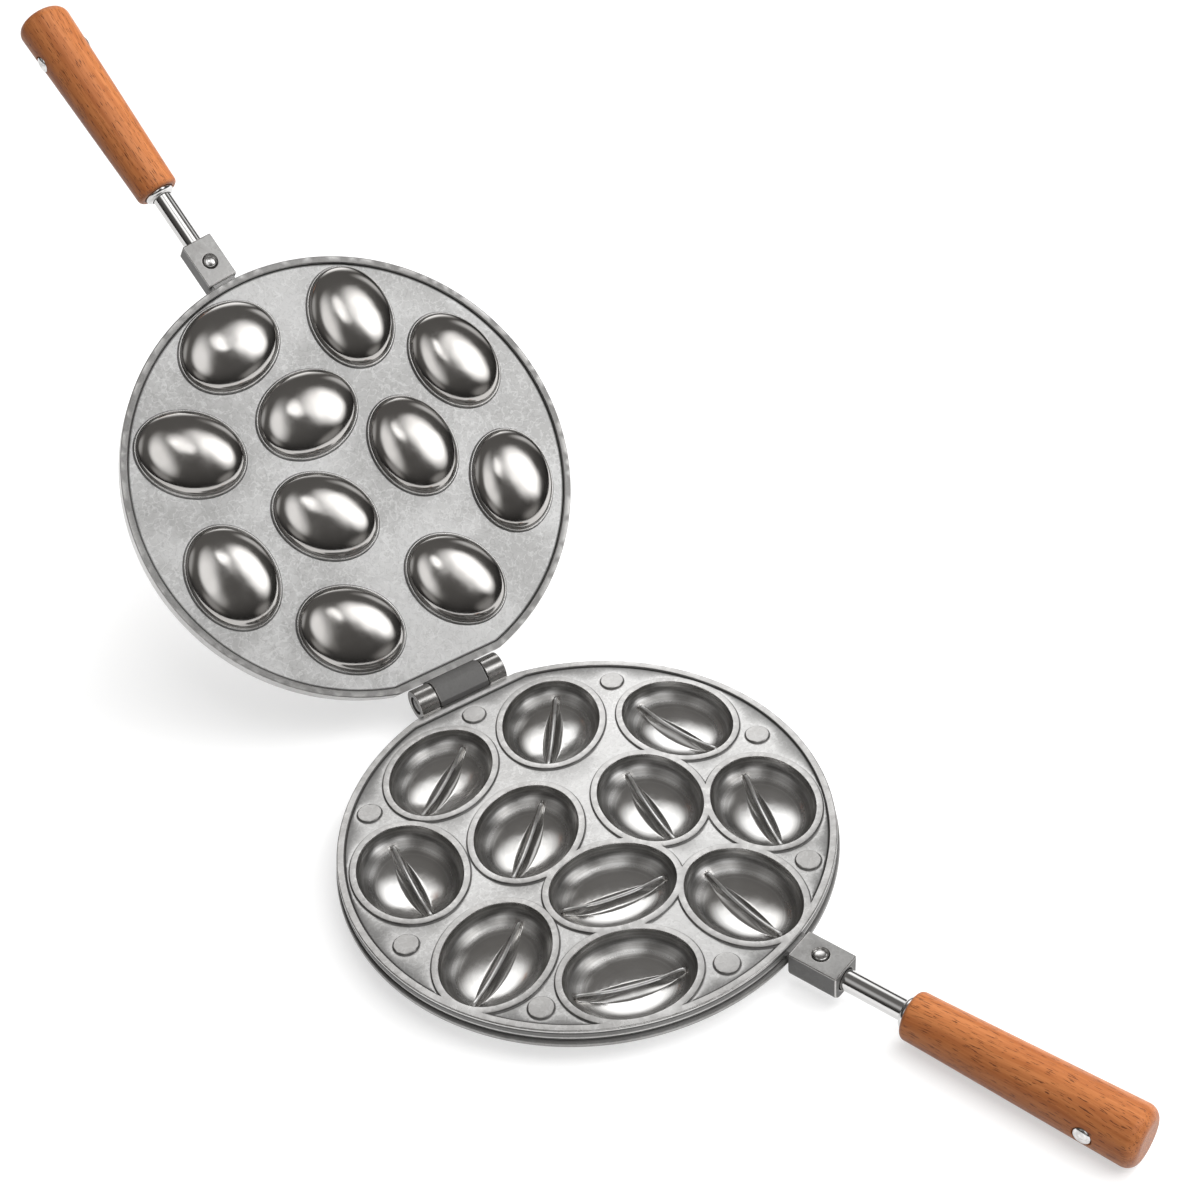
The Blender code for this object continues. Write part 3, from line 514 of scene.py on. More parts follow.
def cast_aluminium(tree):
    """Sand-cast aluminium, bright where it is polished, and dark where shade is painted in at wall
    feet, in recesses and on shaded sides.
    """
    place = tree.node("ShaderNodeTexCoord", {}, {}, "Object")
    polish, grime, level = (tree.attribute(mark) for mark in MARKS)
    rough = 1.0 - polish
    sand = tree.noise(place, 1400.0, 3.0, 0.6)
    mottle = tree.noise(place, 150.0, 4.0, 0.65)
    cloud = tree.noise(place, 28.0, 3.0, 0.55)
    wave = tree.noise(place, 78.0, 1.0, 0.4)
    down = tree.node("ShaderNodeCombineXYZ", {}, {0: level * 1.7, 1: 0.4})
    bands = tree.noise(down, 1.0, 3.0, 0.7)
    marked = level.between(5.5, 9.0, 1.0, 0.1)
    dull = (1.0 - bands.between(0.38, 0.62)) * marked
    turned = tree.mix(dull, tree.mix(cloud.between(0.35, 0.65), *POLISHED), TURNED_MARK)
    curl = tree.noise(place, 230.0, 2.0, 0.55) - 0.5
    hair = tree.noise(place, 410.0, 1.0, 0.5) - 0.5
    scratch = (curl * curl).between(0.0, 0.0011, 1.0, 0.0)
    scratch = scratch - (hair * hair).between(0.0, 0.0013, 0.7, 0.0)
    spread = mottle.between(0.30, 0.70) * 0.45 + cloud.between(0.38, 0.62) * 0.55
    sanded = tree.mix(spread + scratch * 0.42, *SANDED)
    worn = rough * 0.26 + 0.16 + mottle.between(0.3, 0.7, -0.03, 0.03) + grime * 0.25
    bumps = sand * rough * 0.12 + mottle * rough * 0.9
    bumps = bumps + bands * marked * polish * 0.9 + wave * polish * 2.6
    return {
        "Base Color": tree.mix(grime, tree.mix(polish, sanded, turned), DARK_SHADE_AND_DIRT),
        "Metallic": grime.between(0.35, 1.0, 1.0, 0.15),
        "Roughness": worn,
        "Normal": tree.bump(bumps, 0.35, 0.00025),
    }


CAST = finish("cast aluminium", cast_aluminium)


def in_scene(name, data):
    """New object in the scene."""
    obj = bpy.data.objects.new(name, data)
    bpy.context.scene.collection.objects.link(obj)
    return obj


def made_plain(obj, *tools):
    """Plain mesh of an object with its modifiers applied; it and its tools are removed."""
    graph = bpy.context.evaluated_depsgraph_get()
    mesh = bpy.data.meshes.new_from_object(obj.evaluated_get(graph))
    for used in (obj, *tools):
        bpy.data.objects.remove(used)
    return mesh


def start_tree(name, inputs):
    """Geometry tree with named inputs: its nodes, the wires of its inputs and their keys."""
    nodes = Tree(bpy.data.node_groups.new(name, "GeometryNodeTree"))
    face, keys = nodes.tree.interface, {}
    for label, kind in inputs.items():
        made = face.new_socket(label, in_out="INPUT", socket_type=f"NodeSocket{kind}")
        keys[label] = made.identifier
    face.new_socket("Made", in_out="OUTPUT", socket_type="NodeSocketGeometry")
    given = nodes.tree.nodes.new("NodeGroupInput")
    return nodes, [Wire(nodes, given.outputs[k]) for k in range(len(inputs))], keys


def end_tree(nodes, shape, metal):
    """End a tree: its instances made real and given their finish."""
    real = nodes.node("GeometryNodeRealizeInstances", {}, {"Geometry": shape})
    done = nodes.node("GeometryNodeSetMaterial", {}, {"Geometry": real, "Material": metal})
    nodes.node("NodeGroupOutput", {}, {"Made": done})


def made_by(tree, keys, start, values, *tools):
    """Plain mesh that a tree makes from a start mesh and the values of its inputs."""
    obj = in_scene(start.name, start)
    maker = obj.modifiers.new("Maker", "NODES")
    maker.node_group = tree
    for label, value in values.items():
        maker[keys[label]] = value
    return made_plain(obj, *tools)


def set_out_tree():
    """Tree that copies a shape to each place and turns it to its heading."""
    inputs = {"Places": "Geometry", "Shape": "Object", "Metal": "Material"}
    nodes, (places, chosen, metal), keys = start_tree("set out", inputs)
    heading = nodes.node(
        "GeometryNodeInputNamedAttribute", {"data_type": "FLOAT"}, {"Name": "heading"}
    )
    turn = nodes.node("ShaderNodeCombineXYZ", {}, {"Z": heading})
    model = nodes.node("GeometryNodeObjectInfo", {}, {"Object": chosen}, "Geometry")
    copies = nodes.node(
        "GeometryNodeInstanceOnPoints", {}, {"Points": places, "Instance": model, "Rotation": turn}
    )
    end_tree(nodes, copies, metal)
    return nodes.tree, keys


SET_OUT = set_out_tree()


def set_out(name, points, faces, marks, height, up):
    """A patch at each bowl's place, turned to its seam and looking up or down."""
    if upright(points, faces) != up:
        faces = [f[::-1] for f in faces]
    shape = in_scene(f"{name} model", marked_mesh(name, points, faces, marks))
    places = bpy.data.meshes.new(name)
    places.from_pydata([(x, y, height) for x, y in map(middle_of, BOWLS)], [], [])
    layer = places.attributes.new("heading", "FLOAT", "POINT")
    layer.data.foreach_set("value", [seam_turn(row) for row in BOWLS])
    copies = made_by(*SET_OUT, places, {"Shape": shape, "Metal": CAST}, shape)
    return *points_of(copies), *marks_of(copies)


LAND_ROUND = 0.5
POCKET_EDGE = CHORD - LAND - 0.6
WALL_LINES = (-0.12, 0.04, 0.16, 0.28, 0.42, 0.7, 1.2)
NEAR_WALL = -0.25
SHADED_SIDE = np.array([-0.35, -0.94])


def land_depth(points, width, edge):
    """How far points lie inside a land of a width, or from its edge at the hinge side."""
    radius = np.hypot(points[:, 0], points[:, 1])
    return np.minimum(PLATE_RADIUS - width - radius, edge - points[:, 1])


def pocket_depth(points):
    """How far points lie inside the land, and outside the lips and pads."""
    gaps = list(off_mouths(points) - LIP)
    gaps += [np.hypot(*(points - middle_of(pad)).T) - PAD_RADIUS for pad in PADS]
    return land_depth(points, LAND, POCKET_EDGE), np.min(gaps, axis=0)


def ground(mouth, loops, edge, depth_of, wanted):
    """Flat triangles between a land's edge and the mouths, with lines where walls run."""
    lines = [(circle(PLATE_RADIUS - LAND_ROUND), True)]
    lines += [(oval_at(row, mouth), True) for row in BOWLS]
    for loop in loops:
        lines += pieces_of(loop, depth_of(loop) > NEAR_WALL)
    across = np.linspace(-60.0, 60.0, 81)
    for grow in WALL_LINES:
        line = np.column_stack([across, np.full(len(across), edge - grow)])
        kept = depth_of(line) > NEAR_WALL
        kept[0] = kept[-1] = False
        lines += pieces_of(line, kept)
    return surface(lines, wanted)


lower = Casting()
lower.add(*set_out("lower bowls", *bowl_patch(), -PARTING, True))
loops = [oval_at(row, MOUTH + (LIP + grow)) for row in BOWLS for grow in WALL_LINES]
loops += [circle(PAD_RADIUS + grow, 40, middle_of(pad)) for pad in PADS for grow in WALL_LINES]
loops += [circle(PLATE_RADIUS - LAND - grow) for grow in WALL_LINES]
spots, faces = ground(
    MOUTH + LIP_ROUND, loops, POCKET_EDGE, lambda line: np.min(pocket_depth(line), axis=0),
    lambda middle: off_mouths(middle).min(0) > LIP_ROUND - 0.01,
)

land, gap = pocket_depth(spots)
depth = np.minimum(land, gap)
off = off_mouths(spots)
from_middle = spots - np.array([middle_of(row) for row in BOWLS])[off.argmin(0)]
away = from_middle / np.hypot(*from_middle.T)[:, None]
# Painted shade: a dark line at the foot of every wall round the lips, pads and land, wider and
# darker on the side of each lip away from the light where its shadow falls, and a black line
# inside the land; the flat tops of the lips, pads and land get a faint even darkening.
by_bowl = (off.min(0) - LIP < gap + 1e-6) & (gap < land)
shaded = np.where(by_bowl, step(away @ SHADED_SIDE, 0.70, 0.97), 0.0)
outline = peak(depth, 0.34 + 0.28 * shaded, 0.17 + 0.30 * shaded)
deep_shade_line = np.where(land < gap, peak(land, 0.75, 0.55), 0.0)
grime = np.clip((0.75 + 0.25 * shaded) * outline + 0.97 * deep_shade_line, 0.0, 1.0)
grime = np.maximum(grime * step(depth, -0.08, 0.16), 0.14 * (depth < 0.05))
polish = LIP_POLISH + (POCKET_POLISH - LIP_POLISH) * step(depth, 0.0, 0.4)
height = -PARTING - POCKET * step(depth, -0.06, 0.4)
lower.add_ground(True, spots, faces, height, polish, grime)


# Its edge carries a narrow wall, a groove and a rounded bead, and its underside
# swells under every bowl and is ground flat where the mould stands.
BASE = 18.5
SWELL_WALL = 4.0
SWELL_DEPTH = BASE + 1.0
SWELL_BLEND = 0.9
WALL = 4.0
BEAD = 1.6
GROOVE = 0.6
THICKNESS = 9.6
neck = PLATE_RADIUS - GROOVE
bead_middle = -WALL - 2 * GROOVE - BEAD


def bend(centre, radius, start, end, steps):
    """Points of a profile round a corner."""
    turns = [math.radians(start + (end - start) * k / steps) for k in range(steps + 1)]
    return [(centre[0] + radius * math.cos(t), centre[1] + radius * math.sin(t)) for t in turns]


profile = bend((PLATE_RADIUS - LAND_ROUND, -PARTING - LAND_ROUND), LAND_ROUND, 90, 0, 6)
profile += [(PLATE_RADIUS, -drop) for drop in (0.9, 1.1, 1.5, 1.8, 3.1, 3.5)]
profile += bend((PLATE_RADIUS - 0.25, -WALL + 0.1), 0.25, 0, -60, 4)
profile += bend((neck, bead_middle), BEAD, 82, -90, 16)
points, faces = round_wall(profile)
# The rim is darkened by depth with painted shade: dark lines under the land and in the groove, a
# darker wall and a dim bead.
drops = (0.5, 0.9, 1.1, 1.5, 1.8, 3.1, 3.5, 4.0, 4.3, 4.9, 5.4, 6.2, 8.4)
rim_shade = (0.0, 0.1, 0.95, 0.95, 0.7, 0.7, 0.2, 0.1, 0.6, 0.97, 0.9, 0.4, 0.7)
lower.add(points, faces, 0.5, np.interp(-points[:, 2], drops, rim_shade), 0.0, flip=True)


def underside(points):
    """Height of the underside: a flat plate with a swell under each bowl."""
    radius = np.hypot(points[:, 0], points[:, 1])
    flat = -THICKNESS + (THICKNESS + bead_middle - BEAD) * step(radius, neck - 8.4, neck - 5.6)
    swells = [flat]
    for row in BOWLS:
        local = own_frame(row, points) / (MOUTH + SWELL_WALL)
        swells.append(-SWELL_DEPTH * hump(np.minimum(np.hypot(*local.T), 1.0)))
    lowest = np.min(swells, axis=0)
    near = np.exp(-(np.array(swells) - lowest) / SWELL_BLEND).sum(0)
    low = lowest - SWELL_BLEND * np.log(near)
    edge = step(neck - radius, 0.0, 1.5)
    return np.maximum(low * edge + (bead_middle - BEAD) * (1.0 - edge), -BASE)


lines = [(circle(neck - inset), True) for inset in (0.0, 0.75, 1.5)]
across = np.arange(-92.0, 92.1, 2.0)
grid = np.stack(np.meshgrid(across, across), -1)
grid[::2, :, 0] += 1.0
grid = grid.reshape(-1, 2)
grid = grid[np.hypot(grid[:, 0], grid[:, 1]) < neck - 1.5]
ground_axes = (MOUTH + SWELL_WALL) * hump(BASE / SWELL_DEPTH)
lines += [(oval_at(row, ground_axes, 48), True) for row in BOWLS]
lines += [(point[None, :], False) for point in grid]
spots, faces = surface(lines)
lower.add_ground(False, spots, faces, underside(spots), 0.15, 0.0)


# A cast socket stands on a short neck at the front of each half. Its top is flat and
# its lower edges are well rounded; it is bored for the handle rod and drilled down
# through for a rivet, with a shallow round recess for each of the rivet's heads.
SOCKET_START, SOCKET_END = 96.1, 116.1
SOCKET_TOP, SOCKET_BOTTOM = -1.0, -13.0
SOCKET_HALF = 6.75
SOCKET_ROUND = 3.6
SOCKET_EDGE = 0.6
# How much the socket is darkened: a little on its top, and with painted shade on its sides.
SOCKET_TOP_DARKENING, SOCKET_SIDE_SHADE = 0.30, 0.80
NECK_HALF, NECK_TOP, NECK_BOTTOM = 5.25, -1.6, -7.6
NECK_EDGE = 0.5
RECESS_RADIUS, RECESS_DEPTH = 3.0, 0.6
BORE_START = 98.3
ROD_DEPTH = 7.0
ROD_RADIUS = 4.0
RIVET_PLACE = 105.6
FIT = 0.3
OVERSHOOT = 3.0


def handle_frame(turn):
    """Frame of a handle: X outwards from the plate, at a turn from straight ahead."""
    return Matrix.Rotation(math.radians(turn - 90.0), 4, "Z")


LOWER_HANDLE = handle_frame(19.0)
UPPER_HANDLE = handle_frame(-8.8) @ Matrix.Rotation(math.pi, 4, "X")
LIE = Matrix.Rotation(math.pi / 2, 4, "Y")
UPRIGHT = Matrix.Rotation(-math.pi / 2, 4, "Y")


def outward(name, points, faces):
    """Closed mesh, welded, with its faces outwards."""
    mesh = bpy.data.meshes.new(name)
    mesh.from_pydata(points, [], faces)
    solid = welded(mesh)
    bmesh.ops.recalc_face_normals(solid, faces=solid.faces)
    return put_back(solid, mesh)


def prism(outline, start, end):
    """Solid with an outline in Y and Z, from one X to another."""
    count = len(outline)
    points = [(x, y, z) for x in (start, end) for y, z in outline]
    faces = [tuple(range(count)), tuple(range(2 * count - 1, count - 1, -1))]
    faces += [(k, k + count, (k + 1) % count + count, (k + 1) % count) for k in range(count)]
    return outward("prism", points, faces)


def drill(radius, start, end, place):
    """Round cutter along X of a frame, from one X to another."""
    solid = bmesh.new()
    bmesh.ops.create_cone(
        solid, cap_ends=True, segments=48, radius1=radius, radius2=radius, depth=end - start
    )
    middle = Matrix.Translation(((start + end) / 2, 0.0, 0.0))
    bmesh.ops.transform(solid, matrix=place @ middle @ LIE, verts=solid.verts)
    bmesh.ops.recalc_face_normals(solid, faces=solid.faces)
    return put_back(solid, bpy.data.meshes.new("drill"))


def worked(mesh, cutters, edge, segments=3, held_back=False):
    """A mesh with holes cut in it and its sharp edges rounded."""
    obj = in_scene("worked", mesh)
    tools = [in_scene("tool", cutter) for cutter in cutters]
    for tool in tools:
        cut = obj.modifiers.new("Cut", "BOOLEAN")
        cut.operation = "DIFFERENCE"
        cut.solver = "EXACT"
        cut.object = tool
    rounding = obj.modifiers.new("Edges", "BEVEL")
    rounding.width = edge
    rounding.segments = segments
    rounding.use_clamp_overlap = held_back
    rounding.limit_method = "ANGLE"
    rounding.angle_limit = math.radians(40.0)
    return made_plain(obj, *tools)


def add_socket(casting, handle):
    """Socket block and neck of one half, added to its casting."""
    low = SOCKET_HALF - SOCKET_ROUND
    outline = bend((low, SOCKET_BOTTOM + SOCKET_ROUND), SOCKET_ROUND, -90, 0, 12)
    outline += [(SOCKET_HALF, SOCKET_TOP), (-SOCKET_HALF, SOCKET_TOP)]
    outline += bend((-low, SOCKET_BOTTOM + SOCKET_ROUND), SOCKET_ROUND, 180, 270, 12)
    rivet = Matrix.Translation((RIVET_PLACE, 0.0, 0.0)) @ UPRIGHT
    axis = Matrix.Translation((0.0, 0.0, -ROD_DEPTH))
    cutters = [
        drill(ROD_RADIUS + FIT, BORE_START, SOCKET_END + OVERSHOOT, axis),
        drill(RECESS_RADIUS, SOCKET_TOP - RECESS_DEPTH, OVERSHOOT, rivet),
        drill(RECESS_RADIUS, SOCKET_BOTTOM - OVERSHOOT, SOCKET_BOTTOM + RECESS_DEPTH, rivet),
    ]
    block = worked(prism(outline, SOCKET_START, SOCKET_END), cutters, SOCKET_EDGE)
    points, _ = points_of(block)
    below, along = SOCKET_TOP - points[:, 2], SOCKET_END - points[:, 0]
    flat = (below < 1e-3) | (np.abs(points[:, 1]) > SOCKET_HALF - 1e-3) | (along < 1e-3)
    edge = ~flat & ((below < SOCKET_EDGE - 1e-3) | (along < SOCKET_EDGE - 1e-3))
    # The sides are painted dark as shade, the top less so, and a dark ring of painted shade lies
    # inside the bore; the rounded edges are left undarkened and more polished.
    shade_marks = np.where(below < 1e-3, SOCKET_TOP_DARKENING, SOCKET_SIDE_SHADE)
    from_rod = np.hypot(points[:, 1], points[:, 2] + ROD_DEPTH)
    bore = peak(from_rod, ROD_RADIUS + FIT, 0.35) * (below > 1.0)
    shade_marks = np.maximum(np.where(edge, 0.0, shade_marks), 0.95 * bore)
    casting.add(*points_of(block, handle), np.where(edge, 0.8, 0.5), shade_marks)
    corners = [(-NECK_HALF, NECK_BOTTOM), (NECK_HALF, NECK_BOTTOM)]
    corners += [(NECK_HALF, NECK_TOP), (-NECK_HALF, NECK_TOP)]
    neck_block = worked(prism(corners, PLATE_RADIUS - LAND, SOCKET_START + 1.5), [], NECK_EDGE)
    # The neck under the socket is painted dark, as shade.
    casting.add(*points_of(neck_block, handle), 0.3, 0.55)


lower.cut_flat()
add_socket(lower, LOWER_HANDLE)


# Three knuckles carry the pin: two round ones on arms of the lower half, and between
# them one of the upper half, with a flat on top and a heel that stops it open.
SIDE_KNUCKLE = 6.6
CENTRE_KNUCKLE = 6.9
CENTRE_HALF = 11.3
BARREL_HALF = 20.0
PIN_RADIUS = 2.5
PIN_HEAD, PIN_RECESS = 3.6, 3.9
RECESS_FLOOR = BARREL_HALF - 1.4
SIDE_ARM = (-0.35, -5.6)
KNUCKLE_EDGE = 0.4
DRILL_PAST = 2.0
SHARP_CAST = 38.0
# How far from the pin the bore and recesses are painted dark as shade.
BORE_SHADE_REACH = 4.1
knuckle_axis = Matrix.Translation((0.0, HINGE_AXIS, 0.0))
centre = (HINGE_AXIS, 0.0)


def add_knuckle(casting, outline, start, end, polish, grime, recesses=()):
    """One knuckle on its arm, bored for the pin and sunk for its heads."""
    cutters = [drill(PIN_RADIUS + FIT, start - DRILL_PAST, end + DRILL_PAST, knuckle_axis)]
    cutters += [drill(PIN_RECESS, low, high, knuckle_axis) for low, high in recesses]
    block = worked(prism(outline, start, end), cutters, KNUCKLE_EDGE)
    points, faces = points_of(block)
    reach = np.hypot(points[:, 1] - HINGE_AXIS, points[:, 2])
    arm = points[:, 1] < HINGE_AXIS - SIDE_KNUCKLE - 0.4
    along = np.minimum(points[:, 0] - start, end - points[:, 0])
    # Painted shade: dark inside the bore and the recesses, a little more on the arm, and on the
    # knuckle's end faces; the rounded end edges are left undarkened and more polished.
    shade_marks = np.where(reach < BORE_SHADE_REACH, 0.85, np.where(arm, grime + 0.1, grime))
    shade_marks = np.where(along < 1e-3, np.maximum(shade_marks, 0.6), shade_marks)
    worn = (along > 1e-3) & (along < KNUCKLE_EDGE - 1e-3) & (reach > BORE_SHADE_REACH)
    casting.add(points, faces, np.where(worn, 0.9, polish), np.where(worn, 0.0, shade_marks))


def degrees_at(height, radius):
    """Angle at which a round reaches a height."""
    return math.degrees(math.asin(height / radius))


top_turn = 180.0 - degrees_at(SIDE_ARM[0], SIDE_KNUCKLE)
bottom_turn = degrees_at(-SIDE_ARM[1], SIDE_KNUCKLE) - 180.0
side_outline = bend(centre, SIDE_KNUCKLE, top_turn, bottom_turn, 56)
side_outline += [(CHORD - LAND, height) for height in reversed(SIDE_ARM)]
for side in (1, -1):
    start, end = sorted((side * (CENTRE_HALF + FIT), side * BARREL_HALF))
    recess = sorted((side * RECESS_FLOOR, side * (BARREL_HALF + DRILL_PAST)))
    add_knuckle(lower, side_outline, start, end, 0.70, 0.0, [recess])


def show(name, mesh, body, node, material=None, sharp=40.0):
    """Put a finished mesh in the scene in place of its CAD node."""
    if material:
        mesh.materials.append(material)
    mesh.shade_smooth()
    mesh.set_sharp_from_angle(angle=math.radians(sharp))
    obj = in_scene(name, mesh)
    smooth = obj.modifiers.new("Even shading", "WEIGHTED_NORMAL")
    smooth.keep_sharp = True
    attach(obj, body)
    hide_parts(node)


skin = lower.mesh("lower_plate_cast", lower_place)
show("lower_casting", skin, "lower_half", "lower_plate", CAST, SHARP_CAST)


# The upper plate is a thinner casting. Inside its land the face is sunk, and a
# polished dome stands on a low collar over every bowl; its back is a plain tray with
# the hollow of each dome.
FACE = 1.5
BACK = 5.0
UPPER_TOP = 8.0
DOME = np.array([21.9, 17.4])
DOME_ROUND = 0.35
DOME_HEIGHT = 6.0
DOME_FOOT = -1.77
COLLAR_GROW = -1.4
BACK_RIM = 4.0
HOLLOW = np.array([19.1, 14.6])
HOLLOW_DEPTH = 3.2
HOLLOW_FLARE = 1.05
HOLLOW_MOUTH = HOLLOW * HOLLOW_FLARE + 0.7
BACK_POLISH = 0.25


def dome_patch():
    """Rings of one polished dome, which stands down from the parting face."""
    stack = []
    for out, drop in ((DOME_ROUND, 0.0), (0.18, 0.04), (0.06, 0.14), (0.0, 0.32)):
        stack.append(at_height(around(DOME + out), -drop))
    for angle in (5, 8, 11, 15, 19, 24, 29, 35, 41, 47, 54, 61, 68, 75, 82, 87, 90):
        wide, high = up_side(angle)
        stack.append(at_height(around(DOME * wide), -DOME_HEIGHT * high))
    return rings(stack)


def hollow_patch():
    """Rings of the hollow in the back of one dome: its flared wall and its round floor."""
    stack = []
    rounding = ((0.7, 0.0), (0.3, 0.1), (0.08, 0.35), (0.0, 0.75))
    for out, drop in (*rounding, (0.0, 1.8), (0.0, 3.2), (0.0, 4.4)):
        stack.append(at_height(around(HOLLOW * (HOLLOW_FLARE - 0.01 * drop) + out), -drop))
    for angle in (0, 6, 12, 20, 28, 37, 46, 56, 66, 76, 84, 90):
        wide, high = up_side(angle)
        stack.append(at_height(around(HOLLOW * wide), -BACK - HOLLOW_DEPTH * high))
    return rings(stack)


upper = Casting()
for patch_name, patch_of, base, polish, edge_polish, up in (
    ("domes", dome_patch, PARTING, 1.12, LIP_POLISH, False),
    ("hollows", hollow_patch, BACK, 0.35, BACK_POLISH, True),
):
    points, faces = patch_of()
    depth = -points[:, 2]
    inside = depth > 0.0
    # Painted shade: a dark line round the foot of each dome; the hollows in the back get a faint
    # even darkening.
    shade_marks = inside * (0.75 * peak(depth, 0.25, 0.14) if patch_name == "domes" else 0.12)
    marks = (np.where(inside, polish, edge_polish), shade_marks, 0.0)
    upper.add(*set_out(f"upper {patch_name}", points, faces, marks, base, up))


def face_depth(points):
    """How far points lie inside the land, and outside the domes' collars."""
    return land_depth(points, LAND, CHORD - LAND), off_mouths(points).min(0) - COLLAR_GROW


loops = [oval_at(row, MOUTH + (COLLAR_GROW + grow)) for row in BOWLS for grow in WALL_LINES]
loops += [circle(PLATE_RADIUS - LAND - grow) for grow in WALL_LINES]
spots, faces = ground(
    DOME + DOME_ROUND, loops, CHORD - LAND, lambda line: np.min(face_depth(line), axis=0),
    lambda middle: off_mouths(middle).min(0) > DOME_FOOT,
)
land, collar = face_depth(spots)
depth = np.minimum(land, collar)
# Painted shade: dark lines at the foot of the collars and inside the land; the land itself is
# painted much darker, and the face faintly.
deep_shade_line = np.where(land < collar, peak(land, 0.55, 0.35), 0.0)
grime = np.clip(0.8 * peak(depth, 0.4, 0.2) + 0.95 * deep_shade_line, 0.0, 1.0)
grime = grime * step(depth, -0.08, 0.16)
grime = np.maximum(grime, np.where(land < 0.0, 0.56, 0.12 * step(depth, 0.3, 1.0)))
polish = LIP_POLISH - 0.5 * step(depth, 0.0, 0.4)
height = PARTING + (FACE - PARTING) * step(depth, -0.06, 0.45)
upper.add_ground(False, spots, faces, height, polish, grime)

profile = bend((PLATE_RADIUS - LAND_ROUND, UPPER_TOP - LAND_ROUND), LAND_ROUND, 90, 0, 6)
profile += bend((PLATE_RADIUS - LAND_ROUND, PARTING + LAND_ROUND), LAND_ROUND, 0, -90, 6)
upper.add(*round_wall(profile), 0.5, 0.12, flip=True)


def tray_depth(points):
    """How far points lie inside the tray of the upper half's back."""
    return land_depth(points, BACK_RIM, CHORD - BACK_RIM)


def off_hollows(points):
    """Whether points lie on the tray's floor, off the mouths of all its hollows."""
    shares = [np.hypot(*(own_frame(row, points) / HOLLOW_MOUTH).T) for row in BOWLS]
    return np.min(shares, axis=0) > 0.999


loops = [circle(PLATE_RADIUS - BACK_RIM - grow) for grow in WALL_LINES]
spots, faces = ground(HOLLOW_MOUTH, loops, CHORD - BACK_RIM, tray_depth, off_hollows)
depth = tray_depth(spots)
height = UPPER_TOP - (UPPER_TOP - BACK) * step(depth, -0.06, 0.9)
# A dark line of painted shade runs at the foot of the tray's rim.
upper.add_ground(True, spots, faces, height, BACK_POLISH, 0.6 * peak(depth, 0.8, 0.3))

# When the mould stands open, the flat of its knuckle looks up and forward, and the
# heel rests against the cut side of the lower plate.
CENTRE_ARM = (0.35, 6.4)
FLAT_REACH, FLAT_LEAN = 6.2, 45.0
HEEL = 5.0
heel_face = 180.0 + OPEN_ANGLE
heel_corner = heel_face + math.degrees(math.atan2(HEEL, CENTRE_KNUCKLE))
heel_end = heel_face + degrees_at(HEEL, CENTRE_KNUCKLE)
flat_turn = heel_face - FLAT_LEAN
flat_half = math.degrees(math.acos(FLAT_REACH / CENTRE_KNUCKLE))
low_turn = 180.0 - degrees_at(CENTRE_ARM[0], CENTRE_KNUCKLE)
high_turn = 540.0 - degrees_at(CENTRE_ARM[1], CENTRE_KNUCKLE)
outline = [(CHORD - LAND, CENTRE_ARM[0])]
outline += bend(centre, CENTRE_KNUCKLE, low_turn, flat_turn - flat_half, 14)
outline += bend(centre, CENTRE_KNUCKLE, flat_turn + flat_half, heel_face, 8)
outline += bend(centre, math.hypot(CENTRE_KNUCKLE, HEEL), heel_corner, heel_corner, 1)[:1]
outline += bend(centre, CENTRE_KNUCKLE, heel_end, high_turn, 30)
outline += [(CHORD - LAND, CENTRE_ARM[1])]
upper.cut_flat()
# The centre knuckle is painted dark all over, as shade.
add_knuckle(upper, outline, -CENTRE_HALF, CENTRE_HALF, 0.5, 0.85)
add_socket(upper, UPPER_HANDLE)
skin = upper.mesh("upper_plate_cast", upper_place)
show("upper_casting", skin, "upper_half", "upper_plate", CAST, SHARP_CAST)


# Five headed pins hold the mould together: the hinge pin, a rivet through each socket
# and a cross-pin through each grip. All are steel, worked over into a low dome at
# both ends, so one tree makes them from their sizes.
STEEL = ((0.72, 0.715, 0.71, 1.0), (0.50, 0.49, 0.48, 1.0))
# The hinge pin's steel is given one dark colour all over.
DARK_PIN_COLOUR = (0.10, 0.095, 0.09, 1.0)


def pin_steel(tree, colour=None):
    """Steel with fine turned scratches: one colour all over, or bright and a little stained."""
    place = tree.node("ShaderNodeTexCoord", {}, {}, "Object")
    scratch = tree.noise(place, 2600.0, 2.0, 0.6)
    if colour is None:
        colour = tree.mix(tree.noise(place, 500.0, 3.0, 0.6).between(0.35, 0.7), *STEEL)
    return {
        "Base Color": colour,
        "Metallic": 1.0,
        "Roughness": scratch.between(0.3, 0.7, 0.14, 0.26),
        "Normal": tree.bump(scratch, 0.2, 0.00005),
    }


PIN_STEEL = finish("pin steel", pin_steel)
DARK_PIN_STEEL = finish("oiled pin steel", lambda tree: pin_steel(tree, DARK_PIN_COLOUR))
PIN_STEPS = 40


